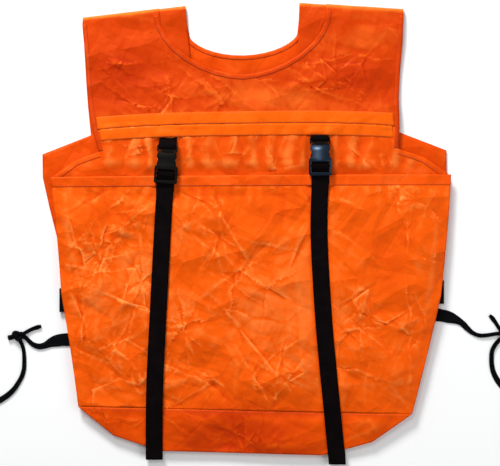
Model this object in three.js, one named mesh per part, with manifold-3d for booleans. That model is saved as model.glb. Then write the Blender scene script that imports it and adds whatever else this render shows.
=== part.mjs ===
// Pullover vest with a large front pouch, lying flat on its back panel.
// Millimetres. +Z is up from the surface it lies on, +Y points to the collar,
// +X is to the right when the pouch faces up. The origin is the middle of its footprint.
import * as THREE from 'three';
import { mergeVertices } from 'three/addons/utils/BufferGeometryUtils.js';
import Module from 'manifold-3d';

const wasm = await Module();
wasm.setup();

// ---- Driving dimensions -------------------------------------------------------------
const touch = 0.3;                // gap kept between pieces that touch or are sewn together
const clothThickness = 1.0;       // thickness of one layer of cloth as it lies, rumples included
const torsoGap = 5.4;             // air between the back panel and the front panel
const pouchDepth = 5.0;           // air inside the pouch as it lies
const shoulderHalfWidth = 237;    // middle of the vest to the outer end of the shoulder
const shoulderInnerTop = 337;     // height of the shoulder fold beside the neck
const shoulderDrop = 14;          // how much lower the fold is at the sleeve side
const foldLeg = 6;                // straight part of the folded cloth at the shoulder
const backNeckHalfWidth = 85;     // half of the back neck opening at the shoulder
const backNeckDepth = 76;         // from the shoulder to the lowest point of the back neckline
const backNeckRise = 30;          // height of the round part of the back neckline
const backNeckFlare = 5.5;        // how far the back neckline leans out above its round part
const frontNeckHalfWidth = 124;   // half of the front neck opening at the shoulder
const frontNeckDepth = 105;       // from the shoulder to the lowest point of the front neckline
const gussetInset = 2;            // how far the neck gusset stays below the shoulder's bend
const gussetLap = 16;             // how far it runs under the front panel at the shoulder
const neckHemWidth = 7.5;
const backNeckHemWidth = 7;
const armholeHemWidth = 7;
const bandTop = 178;              // upper edge of the two chest bands
const bandStripWidth = 17.8;
const bandSlant = 3;              // how much shorter the lower band is at each end
const chestHalfWidth = 226;       // half width of the front at the chest bands
const armholeCurve = 5;           // how far the armhole runs in below the bands
const armholeBottom = 124;        // where the armhole ends on the front
const wingDrop = 13;              // how far the front wing falls by half of its reach
const wingInset = 5;              // how far the front wing stays inside the pouch mouth
const wingRise = 2;               // how far the front wing's end stands above the mouth
const backWingProud = 3.5;        // how far the back wing stands outside the pouch mouth
const backWingTop = 118;
const backArmholeBottom = 146;
const wingHemWidth = 9;
const pouchTop = 84;              // the pouch mouth
const pouchMouthHalfWidth = 294.5;
const pouchWaistHalfWidth = 279;  // half width of the pouch a third of the way down
const pouchWaist = -92;
const pouchFootHalfWidth = 245.5; // half width where the bottom gusset starts
const pouchFoot = -262;
const pouchHemWidth = 16;
const gussetDrop = 63;            // from the foot of the pouch front to the lower edge
const hemFlatHalfWidth = 120;     // half width of the straight part of the lower edge
const hemCornerHalfWidth = 190;   // half width of the lower edge at its cut corners
const hemCornerRise = 21;         // how far the cut corners stand above the lower edge
const sideWall = 3;               // thickness of a gathered pouch side
const mouthOpen = 18;             // how far below the mouth the pouch's sides start
const edgeInset = 3;              // how far the body panel stays inside the pouch edge
const webbingWidth = 25;
const webbingThickness = 1.5;
const strapOverhang = 11.5;       // how far a strap's fold stands out of the lower edge
const strapLapBehind = 42;        // strap sewn behind the lower edge
const elasticWidth = 35;
const elasticThickness = 1.2;
const elasticLeg = 14;
const elasticBulge = 5;           // how far the elastic stands out of the side
const tapeDiameter = 6;           // the tie tape where it is scrunched to a cord
const knotLength = 20;
const knotWidth = 14;
const knotHeight = 9;

// Side-release buckle for the webbing, in its own frame: +y points to the tongue side.
const frameClearance = 1.1;       // webbing to the side rails of the ladder frame
const railWidth = 3.4;
const buckleHeight = 8;
const shellWall = 1.6;            // top and bottom wall of the socket half
const sideWallWidth = 2.1;        // side wall of the socket half beside its mouth
const mouthY = 16;                // open end of the socket half
const socketFloorY = -6.5;
const rearWall = 2;
const windowMargin = 1;           // the side windows end this far before the socket's floor
const windowTopY = 11.8;
const scallopRadius = 9;          // finger hollows in the shell's sides
const scallopY = 3.4;
const scallopOut = 4.2;           // their centres stand this far outside the shell
const ladderBar = 4;              // inner bar, which the webbing goes round
const innerSlotPlay = 2.5;        // inner slot, beyond the webbing's thickness
const outerSlot = 8;
const outerBar = 4.5;
const ladderHalfHeight = 3;
const outerBarDrop = 1;           // underside of the outer bar below the buckle's middle
const innerBarTop = 0.2;
const innerBarPlay = 0.5;         // inner bar to the webbing tail beneath it
const cavityInset = 0.2;          // the cavity's half width is this much under the webbing's
const pivotInset = 1.7;           // latch roots to the cavity's side, across
const pivotOut = 1;               // latch roots stand this far outside the mouth
const mouthGap = 0.4;             // socket half to tongue half
const baseLength = 11.2;
const baseHeight = 6;
const baseWall = 2;
const slotClearance = 0.4;        // webbing to the ends of the tongue half's slot
const slotPlay = 2.1;             // that slot, beyond the webbing's thickness
const loopBar = 3.4;
const loopBarHeight = 3.2;
const latchHub = 1.6;
const latchWidth = 2.4;
const tongueHalfWidth = 2.4;
const tongueTipY = -2;
const corner = 1.5;               // cut corners of the tongue half's base
const tailLength = 12;            // webbing tail beneath the ladder frame
const upperRun = 50;              // webbing that goes with the socket half
const runLap = 14;                // where the upper run lies over the main run

// How the vest lies: its middle bows to the right between collar and lower edge, and its
// right half is spread a little longer than its left.
const bowDepth = 14;
const bowOffset = 8;
const bowCentre = 10;
const bowReach = 320;
const fan = 0.000084;
const archDrop = 7;               // the ends of the chest bands droop below their middle
const archCentre = 160;
const archReach = 45;
const armShift = -8;              // the vest leans to the left where the armholes are
const armShiftCentre = 195;
const armShiftReach = 80;
const backShift = -9;             // the back panel's wings lie to the left of the front's
const backShiftCentre = 75;
const backShiftReach = 75;

// Where each buckle, strap, elastic and tie lies. A strap's line runs down its middle, from
// below its buckle to where it folds round the lower edge.
const sides = [
  {
    name: 'left', sign: -1, buckle: [-117.5, 100.5], buckleTurn: -3.5,
    strapLine: [[-121, 40], [-123.5, 0], [-131.5, -154], [-135, -235]],
    strapFootX: -136,
    elasticY: -100,
  },
  {
    name: 'right', sign: 1, buckle: [107.9, 112.2], buckleTurn: 0.8,
    strapLine: [[108.5, 50], [106.5, 0], [111.6, -107], [118.5, -190]],
    strapFootX: 133.5,
    elasticY: -88,
  },
];

// ---- Colours ------------------------------------------------------------------------
const orange = { color: 0xff5a12, roughness: 0.6, metalness: 0 };
const bandOrange = { color: 0xff6a1c, roughness: 0.55, metalness: 0 };
const blackWebbing = { color: 0x101012, roughness: 0.85, metalness: 0 };
const blackPlastic = { color: 0x0c0d10, roughness: 0.3, metalness: 0 };

// ---- Heights of the layers ----------------------------------------------------------
const backTop = clothThickness;
const frontBottom = backTop + torsoGap;
const frontTop = frontBottom + clothThickness;
const trimBottom = frontTop + touch;
const pouchBottom = frontTop + pouchDepth;
const pouchFace = pouchBottom + clothThickness;
const hemFace = pouchFace + touch + clothThickness;
const tailBottom = hemFace + touch;
const runBottom = tailBottom + webbingThickness + touch;
const buckleMiddle = runBottom + webbingThickness + touch + outerBarDrop;

// ---- Sizes that follow from others --------------------------------------------------
const shoulderOuterTop = shoulderInnerTop - shoulderDrop;
const backNeckBottom = shoulderInnerTop - backNeckDepth;
const frontNeckBottom = shoulderInnerTop - frontNeckDepth;
const frontWingReach = pouchMouthHalfWidth - wingInset;
const backWingReach = pouchMouthHalfWidth + backWingProud;
const hemBottom = pouchFoot - gussetDrop;

const frameIn = webbingWidth / 2 + frameClearance;
const buckleHalfWidth = frameIn + railWidth;
const cavityHalfWidth = webbingWidth / 2 - cavityInset;
const cavityHeight = buckleHeight - shellWall * 2;
const shellMouthHalfWidth = cavityHalfWidth + sideWallWidth;
const bodyEndY = socketFloorY - rearWall;
const innerSlotEnd = bodyEndY - webbingThickness - innerSlotPlay;
const innerBarEnd = innerSlotEnd - ladderBar;
const outerSlotEnd = innerBarEnd - outerSlot;
const ladderEndY = outerSlotEnd - outerBar;
const slotHalf = webbingWidth / 2 + slotClearance;
const baseHalfWidth = slotHalf + baseWall;
const footY = mouthY + mouthGap;
const baseEndY = footY + baseLength;
const latchPivotX = cavityHalfWidth - pivotInset;
const latchPivotY = mouthY + pivotOut;
const latchHeight = cavityHeight - touch * 2;

const group = new THREE.Group();

// ---- Helpers ------------------------------------------------------------------------
function addMesh(name, geometry, look, parent = group) {
  const mesh = new THREE.Mesh(geometry, new THREE.MeshStandardMaterial(look));
  mesh.name = name;
  parent.add(mesh);
  return mesh;
}

function toSolid(geometry) {
  const bare = geometry.index ? geometry.toNonIndexed() : geometry.clone();
  bare.deleteAttribute('normal');
  bare.deleteAttribute('uv');
  const merged = mergeVertices(bare, 1e-4);
  return new wasm.Manifold(new wasm.Mesh({
    numProp: 3,
    vertProperties: new Float32Array(merged.attributes.position.array),
    triVerts: new Uint32Array(merged.index.array),
  }));
}

function toGeometry(solid) {
  const mesh = solid.getMesh();
  const geometry = new THREE.BufferGeometry();
  geometry.setAttribute('position', new THREE.BufferAttribute(mesh.vertProperties, 3));
  geometry.setIndex(new THREE.BufferAttribute(mesh.triVerts, 1));
  return geometry;
}

function plate(points, bottom, height, holes = []) {
  const shape = new THREE.Shape(points.map(([x, y]) => new THREE.Vector2(x, y)));
  holes.forEach((hole) => {
    shape.holes.push(new THREE.Path(hole.map(([x, y]) => new THREE.Vector2(x, y))));
  });
  const geometry = new THREE.ExtrudeGeometry(shape, { depth: height, bevelEnabled: false });
  geometry.translate(0, 0, bottom);
  return geometry;
}

function rectangle(x0, x1, y0, y1) {
  return [[x0, y0], [x1, y0], [x1, y1], [x0, y1]];
}

// Moves a point of the evenly drawn vest to where it lies.
function spreadOut([x, y]) {
  const bow = bowOffset - bowDepth * ((y - bowCentre) / bowReach) ** 2;
  const lean = armShift * Math.exp(-(((y - armShiftCentre) / armShiftReach) ** 2));
  return [x + bow + lean, y + fan * x * y];
}

// The front also droops at the ends of its chest bands.
function lay([x, y]) {
  const nearBands = Math.exp(-(((y - archCentre) / archReach) ** 2));
  const droop = archDrop * Math.abs(x / chestHalfWidth) ** 3 * nearBands;
  return spreadOut([x, y - droop]);
}

function layBack([x, y]) {
  const shift = backShift * Math.exp(-(((y - backShiftCentre) / backShiftReach) ** 2));
  const [laidX, laidY] = spreadOut([x, y]);
  return [laidX + shift, laidY];
}

// Splits the long edges of a closed outline, so that it can bow as it is laid.
function refine(points, closed = true) {
  const step = 40;
  const result = [];
  const count = closed ? points.length : points.length - 1;
  for (let i = 0; i < count; i += 1) {
    const [x0, y0] = points[i];
    const [x1, y1] = points[(i + 1) % points.length];
    const parts = Math.max(1, Math.round(Math.hypot(x1 - x0, y1 - y0) / step));
    for (let k = 0; k < parts; k += 1) {
      result.push([x0 + ((x1 - x0) * k) / parts, y0 + ((y1 - y0) * k) / parts]);
    }
  }
  if (!closed) {
    result.push(points[points.length - 1]);
  }
  return result;
}

function mirrored(points) {
  return points.map(([x, y]) => [-x, y]).reverse();
}

// A closed outline from its right half, which runs from the middle at the top, clockwise.
function bothHalves(right) {
  const left = mirrored(right).filter(([x]) => x < -1e-6);
  return [...right, ...left];
}

function clothSheet(name, outline, bottom, look, place = lay) {
  const points = refine(outline).map(place);
  return addMesh(name, plate(points, bottom, clothThickness), look);
}

// Offsets an open line to one side, square to its direction.
function offsetLine(points, distance) {
  return points.map((point, i) => {
    const before = points[Math.max(0, i - 1)];
    const after = points[Math.min(points.length - 1, i + 1)];
    const inLength = Math.hypot(point[0] - before[0], point[1] - before[1]) || 1;
    const outLength = Math.hypot(after[0] - point[0], after[1] - point[1]) || 1;
    let first = [(point[0] - before[0]) / inLength, (point[1] - before[1]) / inLength];
    let second = [(after[0] - point[0]) / outLength, (after[1] - point[1]) / outLength];
    if (i === 0) {
      first = second;
    }
    if (i === points.length - 1) {
      second = first;
    }
    const normal = [-(first[1] + second[1]), first[0] + second[0]];
    const length = Math.hypot(...normal);
    const miter = (length * length) / 2;
    return [
      point[0] + (distance * normal[0]) / miter,
      point[1] + (distance * normal[1]) / miter,
    ];
  });
}

// The outline of a strip of even width beside an open line.
function strip(line, near, far) {
  return [...offsetLine(line, near), ...offsetLine(line, far).reverse()];
}

// A flat ribbon: its side view is a line in (y, z), and it is swept across its width.
function ribbon(path, thickness, width, middleAt = () => 0) {
  const outline = strip(path, -thickness / 2, thickness / 2);
  const shape = new THREE.Shape(outline.map(([y, z]) => new THREE.Vector2(y, z)));
  const geometry = new THREE.ExtrudeGeometry(shape, { depth: width, bevelEnabled: false });
  const position = geometry.attributes.position;
  for (let i = 0; i < position.count; i += 1) {
    const y = position.getX(i);
    const z = position.getY(i);
    const x = position.getZ(i) - width / 2;
    position.setXYZ(i, x + middleAt(y), y, z);
  }
  return geometry;
}

// Quarter or half turns of a ribbon's side view.
function arc(centreY, centreZ, radius, from, to, steps) {
  const points = [];
  for (let i = 0; i <= steps; i += 1) {
    const angle = THREE.MathUtils.degToRad(from + ((to - from) * i) / steps);
    points.push([centreY + radius * Math.cos(angle), centreZ + radius * Math.sin(angle)]);
  }
  return points;
}

// ---- Outlines -----------------------------------------------------------------------
const shoulderSlope = (shoulderOuterTop - shoulderInnerTop)
  / (shoulderHalfWidth - backNeckHalfWidth);
const foldRadius = frontTop / 2;
const panelDrop = foldRadius + foldLeg + touch;

function shoulderAt(x) {
  return shoulderInnerTop + shoulderSlope * (Math.abs(x) - backNeckHalfWidth);
}

function frontNeckline(steps) {
  const topY = shoulderAt(frontNeckHalfWidth) - panelDrop;
  const points = [];
  for (let i = 0; i <= steps; i += 1) {
    const t = i / steps;
    const angle = (Math.PI / 2) * t;
    const x = frontNeckHalfWidth * Math.sin(angle) ** 1.15;
    const y = topY - (topY - frontNeckBottom) * Math.cos(angle) ** 1.1;
    points.push([x, y]);
  }
  return points;
}

function backNeckline(steps) {
  const cornerY = backNeckBottom + backNeckRise;
  const cornerX = backNeckHalfWidth - backNeckFlare;
  const points = [];
  for (let i = 0; i <= steps; i += 1) {
    const angle = ((Math.PI / 2) * i) / steps;
    points.push([cornerX * Math.sin(angle), cornerY - backNeckRise * Math.cos(angle) ** 1.3]);
  }
  points.push([backNeckHalfWidth, shoulderAt(backNeckHalfWidth) - panelDrop]);
  return points;
}

function pouchHalfWidthAt(y) {
  if (y > pouchWaist) {
    const t = (y - pouchWaist) / (pouchTop - pouchWaist);
    return pouchWaistHalfWidth + (pouchMouthHalfWidth - pouchWaistHalfWidth) * t;
  }
  const t = (y - pouchFoot) / (pouchWaist - pouchFoot);
  return pouchFootHalfWidth + (pouchWaistHalfWidth - pouchFootHalfWidth) * t;
}

// The right side and half of the lower edge, kept inside the pouch edge by an inset.
function lowerEdge(inset, fromY) {
  const cornerY = hemBottom + hemCornerRise;
  const points = [[pouchHalfWidthAt(fromY) - inset, fromY]];
  if (fromY > pouchWaist) {
    points.push([pouchWaistHalfWidth - inset, pouchWaist]);
  }
  points.push(
    [pouchFootHalfWidth - inset, pouchFoot],
    [hemCornerHalfWidth - inset, cornerY + inset],
    [hemFlatHalfWidth, hemBottom + inset],
    [0, hemBottom + inset],
  );
  return points;
}

// ---- Back panel and shoulders -------------------------------------------------------
const neckSteps = 8;
clothSheet('back_panel', bothHalves([
  ...backNeckline(neckSteps),
  [shoulderHalfWidth, shoulderAt(shoulderHalfWidth) - panelDrop],
  [chestHalfWidth, backArmholeBottom],
  [backWingReach, backWingTop],
  [backWingReach, backWingTop - elasticWidth],
  ...lowerEdge(edgeInset * 2, pouchWaist),
]), 0, orange, layBack);

const backNeckLine = [...mirrored(backNeckline(neckSteps)), ...backNeckline(neckSteps).slice(1)];
clothSheet(
  'back_neck_hem',
  strip(backNeckLine, -touch, -backNeckHemWidth),
  backTop + touch,
  orange,
  layBack,
);

// The back panel's cloth folds over each shoulder and meets the front panel.
function foldOverShoulder(side) {
  const legEnd = -foldRadius - foldLeg;
  const middle = clothThickness / 2;
  const path = [
    [legEnd, middle],
    ...arc(-foldRadius, foldRadius, foldRadius - middle, -90, 90, 8),
    [legEnd, frontTop - middle],
  ];
  const width = shoulderHalfWidth - backNeckHalfWidth;
  const geometry = ribbon(path, clothThickness, width);
  const position = geometry.attributes.position;
  for (let i = 0; i < position.count; i += 1) {
    const x = side.sign * (position.getX(i) + backNeckHalfWidth + width / 2);
    const y = position.getY(i) + shoulderAt(x);
    const [laidX, laidY] = lay([x, y]);
    position.setXY(i, laidX, laidY);
  }
  return side.sign < 0 ? turnedOut(geometry) : geometry;
}

// Mirrored pieces have their triangles turned, so that they face out again.
function turnedOut(geometry) {
  const flat = geometry.index ? geometry.toNonIndexed() : geometry;
  const position = flat.attributes.position;
  for (let i = 0; i < position.count; i += 3) {
    const second = new THREE.Vector3().fromBufferAttribute(position, i + 1);
    const third = new THREE.Vector3().fromBufferAttribute(position, i + 2);
    position.setXYZ(i + 1, third.x, third.y, third.z);
    position.setXYZ(i + 2, second.x, second.y, second.z);
  }
  return flat;
}

function sideOutline(side, points) {
  return side.sign < 0 ? mirrored(points) : points;
}

sides.forEach((side) => {
  addMesh(`${side.name}_shoulder_fold`, foldOverShoulder(side), orange);
  const top = -foldRadius - gussetInset;
  clothSheet(`${side.name}_neck_gusset`, sideOutline(side, [
    [backNeckHalfWidth, shoulderAt(backNeckHalfWidth) + top],
    [frontNeckHalfWidth + gussetLap, shoulderAt(frontNeckHalfWidth + gussetLap) + top],
    [frontNeckHalfWidth + 4, frontNeckBottom + 46],
    [backNeckHalfWidth - 5, frontNeckBottom + 8],
    [backNeckHalfWidth - 8, frontNeckBottom + 16],
    [backNeckHalfWidth - 4.5, frontNeckBottom + 48],
  ]), frontBottom - touch - clothThickness, orange);
});

// ---- Front panel --------------------------------------------------------------------
const bandMiddle = bandTop - bandStripWidth - touch / 2;
const bandBottom = bandTop - bandStripWidth * 2 - touch;
clothSheet('front_yoke', bothHalves([
  ...frontNeckline(neckSteps),
  [shoulderHalfWidth, shoulderAt(shoulderHalfWidth) - panelDrop],
  [chestHalfWidth, bandMiddle + touch / 2],
]), frontBottom, orange);

const frontWingLine = [
  [chestHalfWidth - armholeCurve, armholeBottom],
  [(chestHalfWidth + frontWingReach) / 2, armholeBottom - wingDrop],
  [frontWingReach, pouchTop + wingRise],
];
clothSheet('front_body_panel', bothHalves([
  [0, bandMiddle - touch / 2],
  [chestHalfWidth, bandMiddle - touch / 2],
  ...frontWingLine,
  ...lowerEdge(edgeInset, pouchTop),
]), frontBottom, orange);

const frontNeckLine = [
  ...mirrored(frontNeckline(neckSteps)),
  ...frontNeckline(neckSteps).slice(1),
];
clothSheet('front_neck_hem', strip(frontNeckLine, -touch, -neckHemWidth), trimBottom, orange);

const bandHalf = chestHalfWidth - armholeHemWidth - touch * 2;
const lowerBandHalf = bandHalf - bandSlant;
clothSheet('chest_band_upper', rectangle(
  -bandHalf, bandHalf, bandMiddle + touch / 2, bandTop,
), trimBottom, bandOrange);
clothSheet('chest_band_lower', rectangle(
  -lowerBandHalf, lowerBandHalf, bandBottom, bandMiddle - touch / 2,
), trimBottom, bandOrange);

const armholeLine = [
  [shoulderHalfWidth, shoulderAt(shoulderHalfWidth) - panelDrop],
  [chestHalfWidth, bandMiddle],
  [chestHalfWidth - armholeCurve, armholeBottom + touch * 2],
];

sides.forEach((side) => {
  clothSheet(
    `${side.name}_armhole_hem`,
    sideOutline(side, strip(armholeLine, -touch, -armholeHemWidth)),
    trimBottom,
    orange,
  );
  clothSheet(
    `${side.name}_wing_hem`,
    sideOutline(side, strip(frontWingLine, -touch, -wingHemWidth)),
    trimBottom,
    orange,
  );
});

// ---- Pouch --------------------------------------------------------------------------
const pouchFrontLine = [
  [0, pouchTop],
  [pouchMouthHalfWidth, pouchTop],
  [pouchWaistHalfWidth, pouchWaist],
  [pouchFootHalfWidth, pouchFoot + touch],
  [0, pouchFoot + touch],
];
clothSheet('pouch_front', bothHalves(pouchFrontLine), pouchBottom, orange);
clothSheet('pouch_top_hem', bothHalves([
  [0, pouchTop],
  [pouchMouthHalfWidth, pouchTop],
  [pouchHalfWidthAt(pouchTop - pouchHemWidth), pouchTop - pouchHemWidth],
  [0, pouchTop - pouchHemWidth],
]), pouchFace + touch, orange);

sides.forEach((side) => {
  const sideLine = [
    [pouchHalfWidthAt(pouchTop - mouthOpen), pouchTop - mouthOpen],
    [pouchWaistHalfWidth, pouchWaist],
    [pouchFootHalfWidth, pouchFoot + touch],
  ];
  const outline = sideOutline(side, strip(sideLine, -edgeInset - touch, -edgeInset - sideWall));
  const points = refine(outline).map(lay);
  const wall = plate(points, trimBottom, pouchBottom - touch - trimBottom);
  addMesh(`${side.name}_pouch_side`, wall, orange);
});

// The bottom gusset slopes from the foot of the pouch front down to the lower edge.
function bottomGusset() {
  const outline = bothHalves([[0, pouchFoot], ...lowerEdge(0, pouchFoot)]);
  const geometry = plate(refine(outline).map(lay), 0, clothThickness);
  const position = geometry.attributes.position;
  const lowest = trimBottom;
  for (let i = 0; i < position.count; i += 1) {
    const t = (pouchFoot - position.getY(i)) / (pouchFoot - hemBottom);
    const fall = THREE.MathUtils.clamp(t, 0, 1) * (pouchBottom - lowest);
    position.setZ(i, pouchBottom - fall + position.getZ(i));
  }
  return geometry;
}
addMesh('pouch_bottom_gusset', bottomGusset(), orange);

// ---- Straps and buckles -------------------------------------------------------------
function turnOf(side) {
  return THREE.MathUtils.degToRad(side.buckleTurn);
}

function strapFootY(side) {
  const [bow] = lay([0, hemBottom]);
  const [, edgeY] = lay([side.strapFootX - bow, hemBottom]);
  return edgeY - strapOverhang;
}

function strapMiddleAt(side, y) {
  const line = [...side.strapLine, [side.strapFootX, strapFootY(side)]];
  let i = 0;
  while (i < line.length - 2 && y < line[i + 1][1]) {
    i += 1;
  }
  const t = (y - line[i][1]) / (line[i + 1][1] - line[i][1]);
  return line[i][0] + (line[i + 1][0] - line[i][0]) * t;
}

// The socket half: a flat shell, open at the tongue end, with a ladder frame behind it.
function socketHalf() {
  const half = buckleHeight / 2;
  const outline = [
    [shellMouthHalfWidth - 1.5, mouthY], [shellMouthHalfWidth - 0.2, mouthY - 1.2],
    [shellMouthHalfWidth, windowTopY], [buckleHalfWidth - 0.8, socketFloorY + 3.5],
    [buckleHalfWidth, bodyEndY], [buckleHalfWidth, ladderEndY + 2],
    [buckleHalfWidth - 2, ladderEndY],
  ];
  const whole = [...outline, ...mirrored(outline)];
  let solid = toSolid(plate(whole, -half, buckleHeight));
  const cuts = [
    plate(
      rectangle(-cavityHalfWidth, cavityHalfWidth, socketFloorY, mouthY + 5),
      -cavityHeight / 2,
      cavityHeight,
    ),
  ];
  [-1, 1].forEach((sign) => {
    const near = sign * (cavityHalfWidth - 1);
    const far = sign * (buckleHalfWidth + 1);
    cuts.push(plate(
      rectangle(Math.min(near, far), Math.max(near, far), socketFloorY + windowMargin, windowTopY),
      -cavityHeight / 2,
      cavityHeight,
    ));
    const scallop = new THREE.CylinderGeometry(scallopRadius, scallopRadius, buckleHeight * 2, 28);
    scallop.rotateX(Math.PI / 2);
    scallop.translate(sign * (buckleHalfWidth + scallopOut), scallopY, 0);
    cuts.push(scallop);
  });
  const below = -half - 1;
  const tall = buckleHeight + 2;
  cuts.push(plate(rectangle(-frameIn, frameIn, innerSlotEnd, bodyEndY), below, tall));
  cuts.push(plate(rectangle(-frameIn, frameIn, outerSlotEnd, innerBarEnd), below, tall));
  // The ladder frame is thinner than the shell, and its two bars stand at two heights.
  const wholeFrame = rectangle(
    -buckleHalfWidth - 1, buckleHalfWidth + 1, ladderEndY - 1, bodyEndY,
  );
  cuts.push(plate(wholeFrame, ladderHalfHeight, half));
  cuts.push(plate(wholeFrame, -ladderHalfHeight - half, half));
  const innerBar = rectangle(-frameIn, frameIn, innerBarEnd, innerSlotEnd);
  const innerBarBottom = tailBottom + webbingThickness - buckleMiddle + innerBarPlay;
  cuts.push(plate(innerBar, innerBarTop, half));
  cuts.push(plate(innerBar, below, innerBarBottom - below));
  const outerBarPlan = rectangle(-frameIn, frameIn, ladderEndY - 1, outerSlotEnd);
  cuts.push(plate(outerBarPlan, below, -outerBarDrop - below));
  cuts.forEach((cut) => {
    solid = solid.subtract(toSolid(cut));
  });
  return toGeometry(solid);
}

// The tongue half's base: a webbing bar, a centre tongue and seats for its two latch arms.
function tongueBase() {
  const half = baseHeight / 2;
  const outline = [
    [baseHalfWidth - corner, footY], [baseHalfWidth, footY + corner],
    [baseHalfWidth, baseEndY - corner], [baseHalfWidth - corner, baseEndY],
  ];
  let solid = toSolid(plate([...outline, ...mirrored(outline)].reverse(), -half, baseHeight));
  const slotTop = baseEndY - loopBar;
  const slotBottom = slotTop - webbingThickness - slotPlay;
  const barHalf = loopBarHeight / 2;
  const cuts = [
    plate(rectangle(-slotHalf, slotHalf, slotBottom, slotTop), -half - 1, baseHeight + 2),
    plate(rectangle(-slotHalf, slotHalf, slotTop - 0.1, baseEndY + 1), barHalf, half),
    plate(rectangle(-slotHalf, slotHalf, slotTop - 0.1, baseEndY + 1), -barHalf - half, half),
  ];
  [-1, 1].forEach((sign) => {
    const x = sign * latchPivotX;
    const seat = latchHub + 0.4;
    cuts.push(plate(
      rectangle(x - seat, x + seat, footY - 1, latchPivotY + seat), -half - 1, baseHeight + 2,
    ));
  });
  cuts.forEach((cut) => {
    solid = solid.subtract(toSolid(cut));
  });
  const tongue = plate([
    [-tongueHalfWidth, footY + 1], [-tongueHalfWidth, tongueTipY + 2], [0, tongueTipY],
    [tongueHalfWidth, tongueTipY + 2], [tongueHalfWidth, footY + 1],
  ], -latchHeight / 2, latchHeight);
  return toGeometry(solid.add(toSolid(tongue)));
}

// One latch arm: a round root in the base, a thin beam and a hooked head in the window.
function latchArm(sign) {
  const inner = latchPivotX - latchWidth / 2 + 0.1;
  const outer = inner + latchWidth;
  const beam = plate([
    [inner, latchPivotY], [inner - 0.6, 4], [inner, -4], [inner + 1.2, -4.6],
    [outer + 1.6, -3.4], [shellMouthHalfWidth, -1], [shellMouthHalfWidth - 1.5, 5],
    [outer, 5], [outer, latchPivotY],
  ], -latchHeight / 2, latchHeight);
  const hub = new THREE.CylinderGeometry(latchHub, latchHub, latchHeight, 20);
  hub.rotateX(Math.PI / 2);
  hub.translate(latchPivotX, latchPivotY, 0);
  const geometry = toGeometry(toSolid(beam).add(toSolid(hub)));
  if (sign > 0) {
    return geometry;
  }
  geometry.scale(-1, 1, 1);
  return turnedOut(geometry);
}

// The webbing that goes with the socket half: under the outer bar, over the inner bar,
// round it, and back beneath as a short tail. Its side view is in the buckle's frame.
function upperStrap() {
  const halfThickness = webbingThickness / 2;
  const low = runBottom + halfThickness - buckleMiddle;
  const over = innerBarTop + touch + halfThickness;
  const tail = tailBottom + halfThickness - buckleMiddle;
  const turnY = innerSlotEnd + touch + halfThickness;
  return ribbon([
    [ladderEndY - upperRun, low],
    [outerSlotEnd + 1, low],
    [innerBarEnd - 1, over],
    [turnY - 0.6, over],
    [turnY, over - 0.6],
    [turnY, tail + 0.6],
    [turnY - 0.6, tail],
    [ladderEndY - tailLength, tail],
  ], webbingThickness, webbingWidth);
}

// The short loop that holds the tongue half: round its bar, then down to the seam
// below the chest bands.
function buckleLoop(side) {
  const halfThickness = webbingThickness / 2;
  const away = loopBarHeight / 2 + touch + halfThickness;
  const slotTop = baseEndY - loopBar;
  const turnY = slotTop - touch - halfThickness;
  const bandEdge = lay([side.buckle[0], bandBottom])[1];
  const skew = (webbingWidth / 2) * Math.abs(Math.sin(turnOf(side))) + touch;
  const seamY = bandEdge - skew - touch - halfThickness - side.buckle[1];
  const innerY = seamY - webbingThickness - touch;
  const seamZ = trimBottom - buckleMiddle;
  return ribbon([
    [seamY, seamZ],
    [seamY, away],
    [turnY, away],
    [turnY, -away],
    [innerY, -away],
    [innerY, seamZ],
  ], webbingThickness, webbingWidth);
}

// The strap that lies on the pouch: it slopes over the bottom gusset, folds round the
// lower edge and ends behind it, where it is sewn.
function mainStrap(side) {
  const foldY = strapFootY(side);
  const top = side.buckle[1] + ladderEndY - upperRun + runLap;
  const halfThickness = webbingThickness / 2;
  const surface = tailBottom + halfThickness;
  const foldOuter = foldY + halfThickness;
  const under = frontBottom - touch - halfThickness;
  const low = pouchFace - 1;
  const turn = (low - under) / 2;
  const bends = side.strapLine.map(([, y]) => y).filter((y) => y < top && y > pouchFoot + 4);
  const path = [
    [top, surface],
    ...bends.map((y) => [y, surface]),
    [pouchFoot + 4, surface],
    ...arc(foldOuter + turn, under + turn, turn, 90, 270, 8),
    [foldY + strapLapBehind, under],
  ];
  return ribbon(path, webbingThickness, webbingWidth, (y) => strapMiddleAt(side, y));
}

sides.forEach((side) => {
  const buckle = new THREE.Group();
  buckle.position.set(side.buckle[0], side.buckle[1], buckleMiddle);
  buckle.rotation.z = turnOf(side);
  group.add(buckle);
  addMesh(`${side.name}_tongue_base`, tongueBase(), blackPlastic, buckle);
  addMesh(`${side.name}_latch_outer`, latchArm(side.sign), blackPlastic, buckle);
  addMesh(`${side.name}_latch_inner`, latchArm(-side.sign), blackPlastic, buckle);
  addMesh(`${side.name}_socket_half`, socketHalf(), blackPlastic, buckle);
  addMesh(`${side.name}_strap_upper`, upperStrap(), blackWebbing, buckle);
  addMesh(`${side.name}_buckle_loop`, buckleLoop(side), blackWebbing, buckle);
  addMesh(`${side.name}_strap_main`, mainStrap(side), blackWebbing);
});

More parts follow.
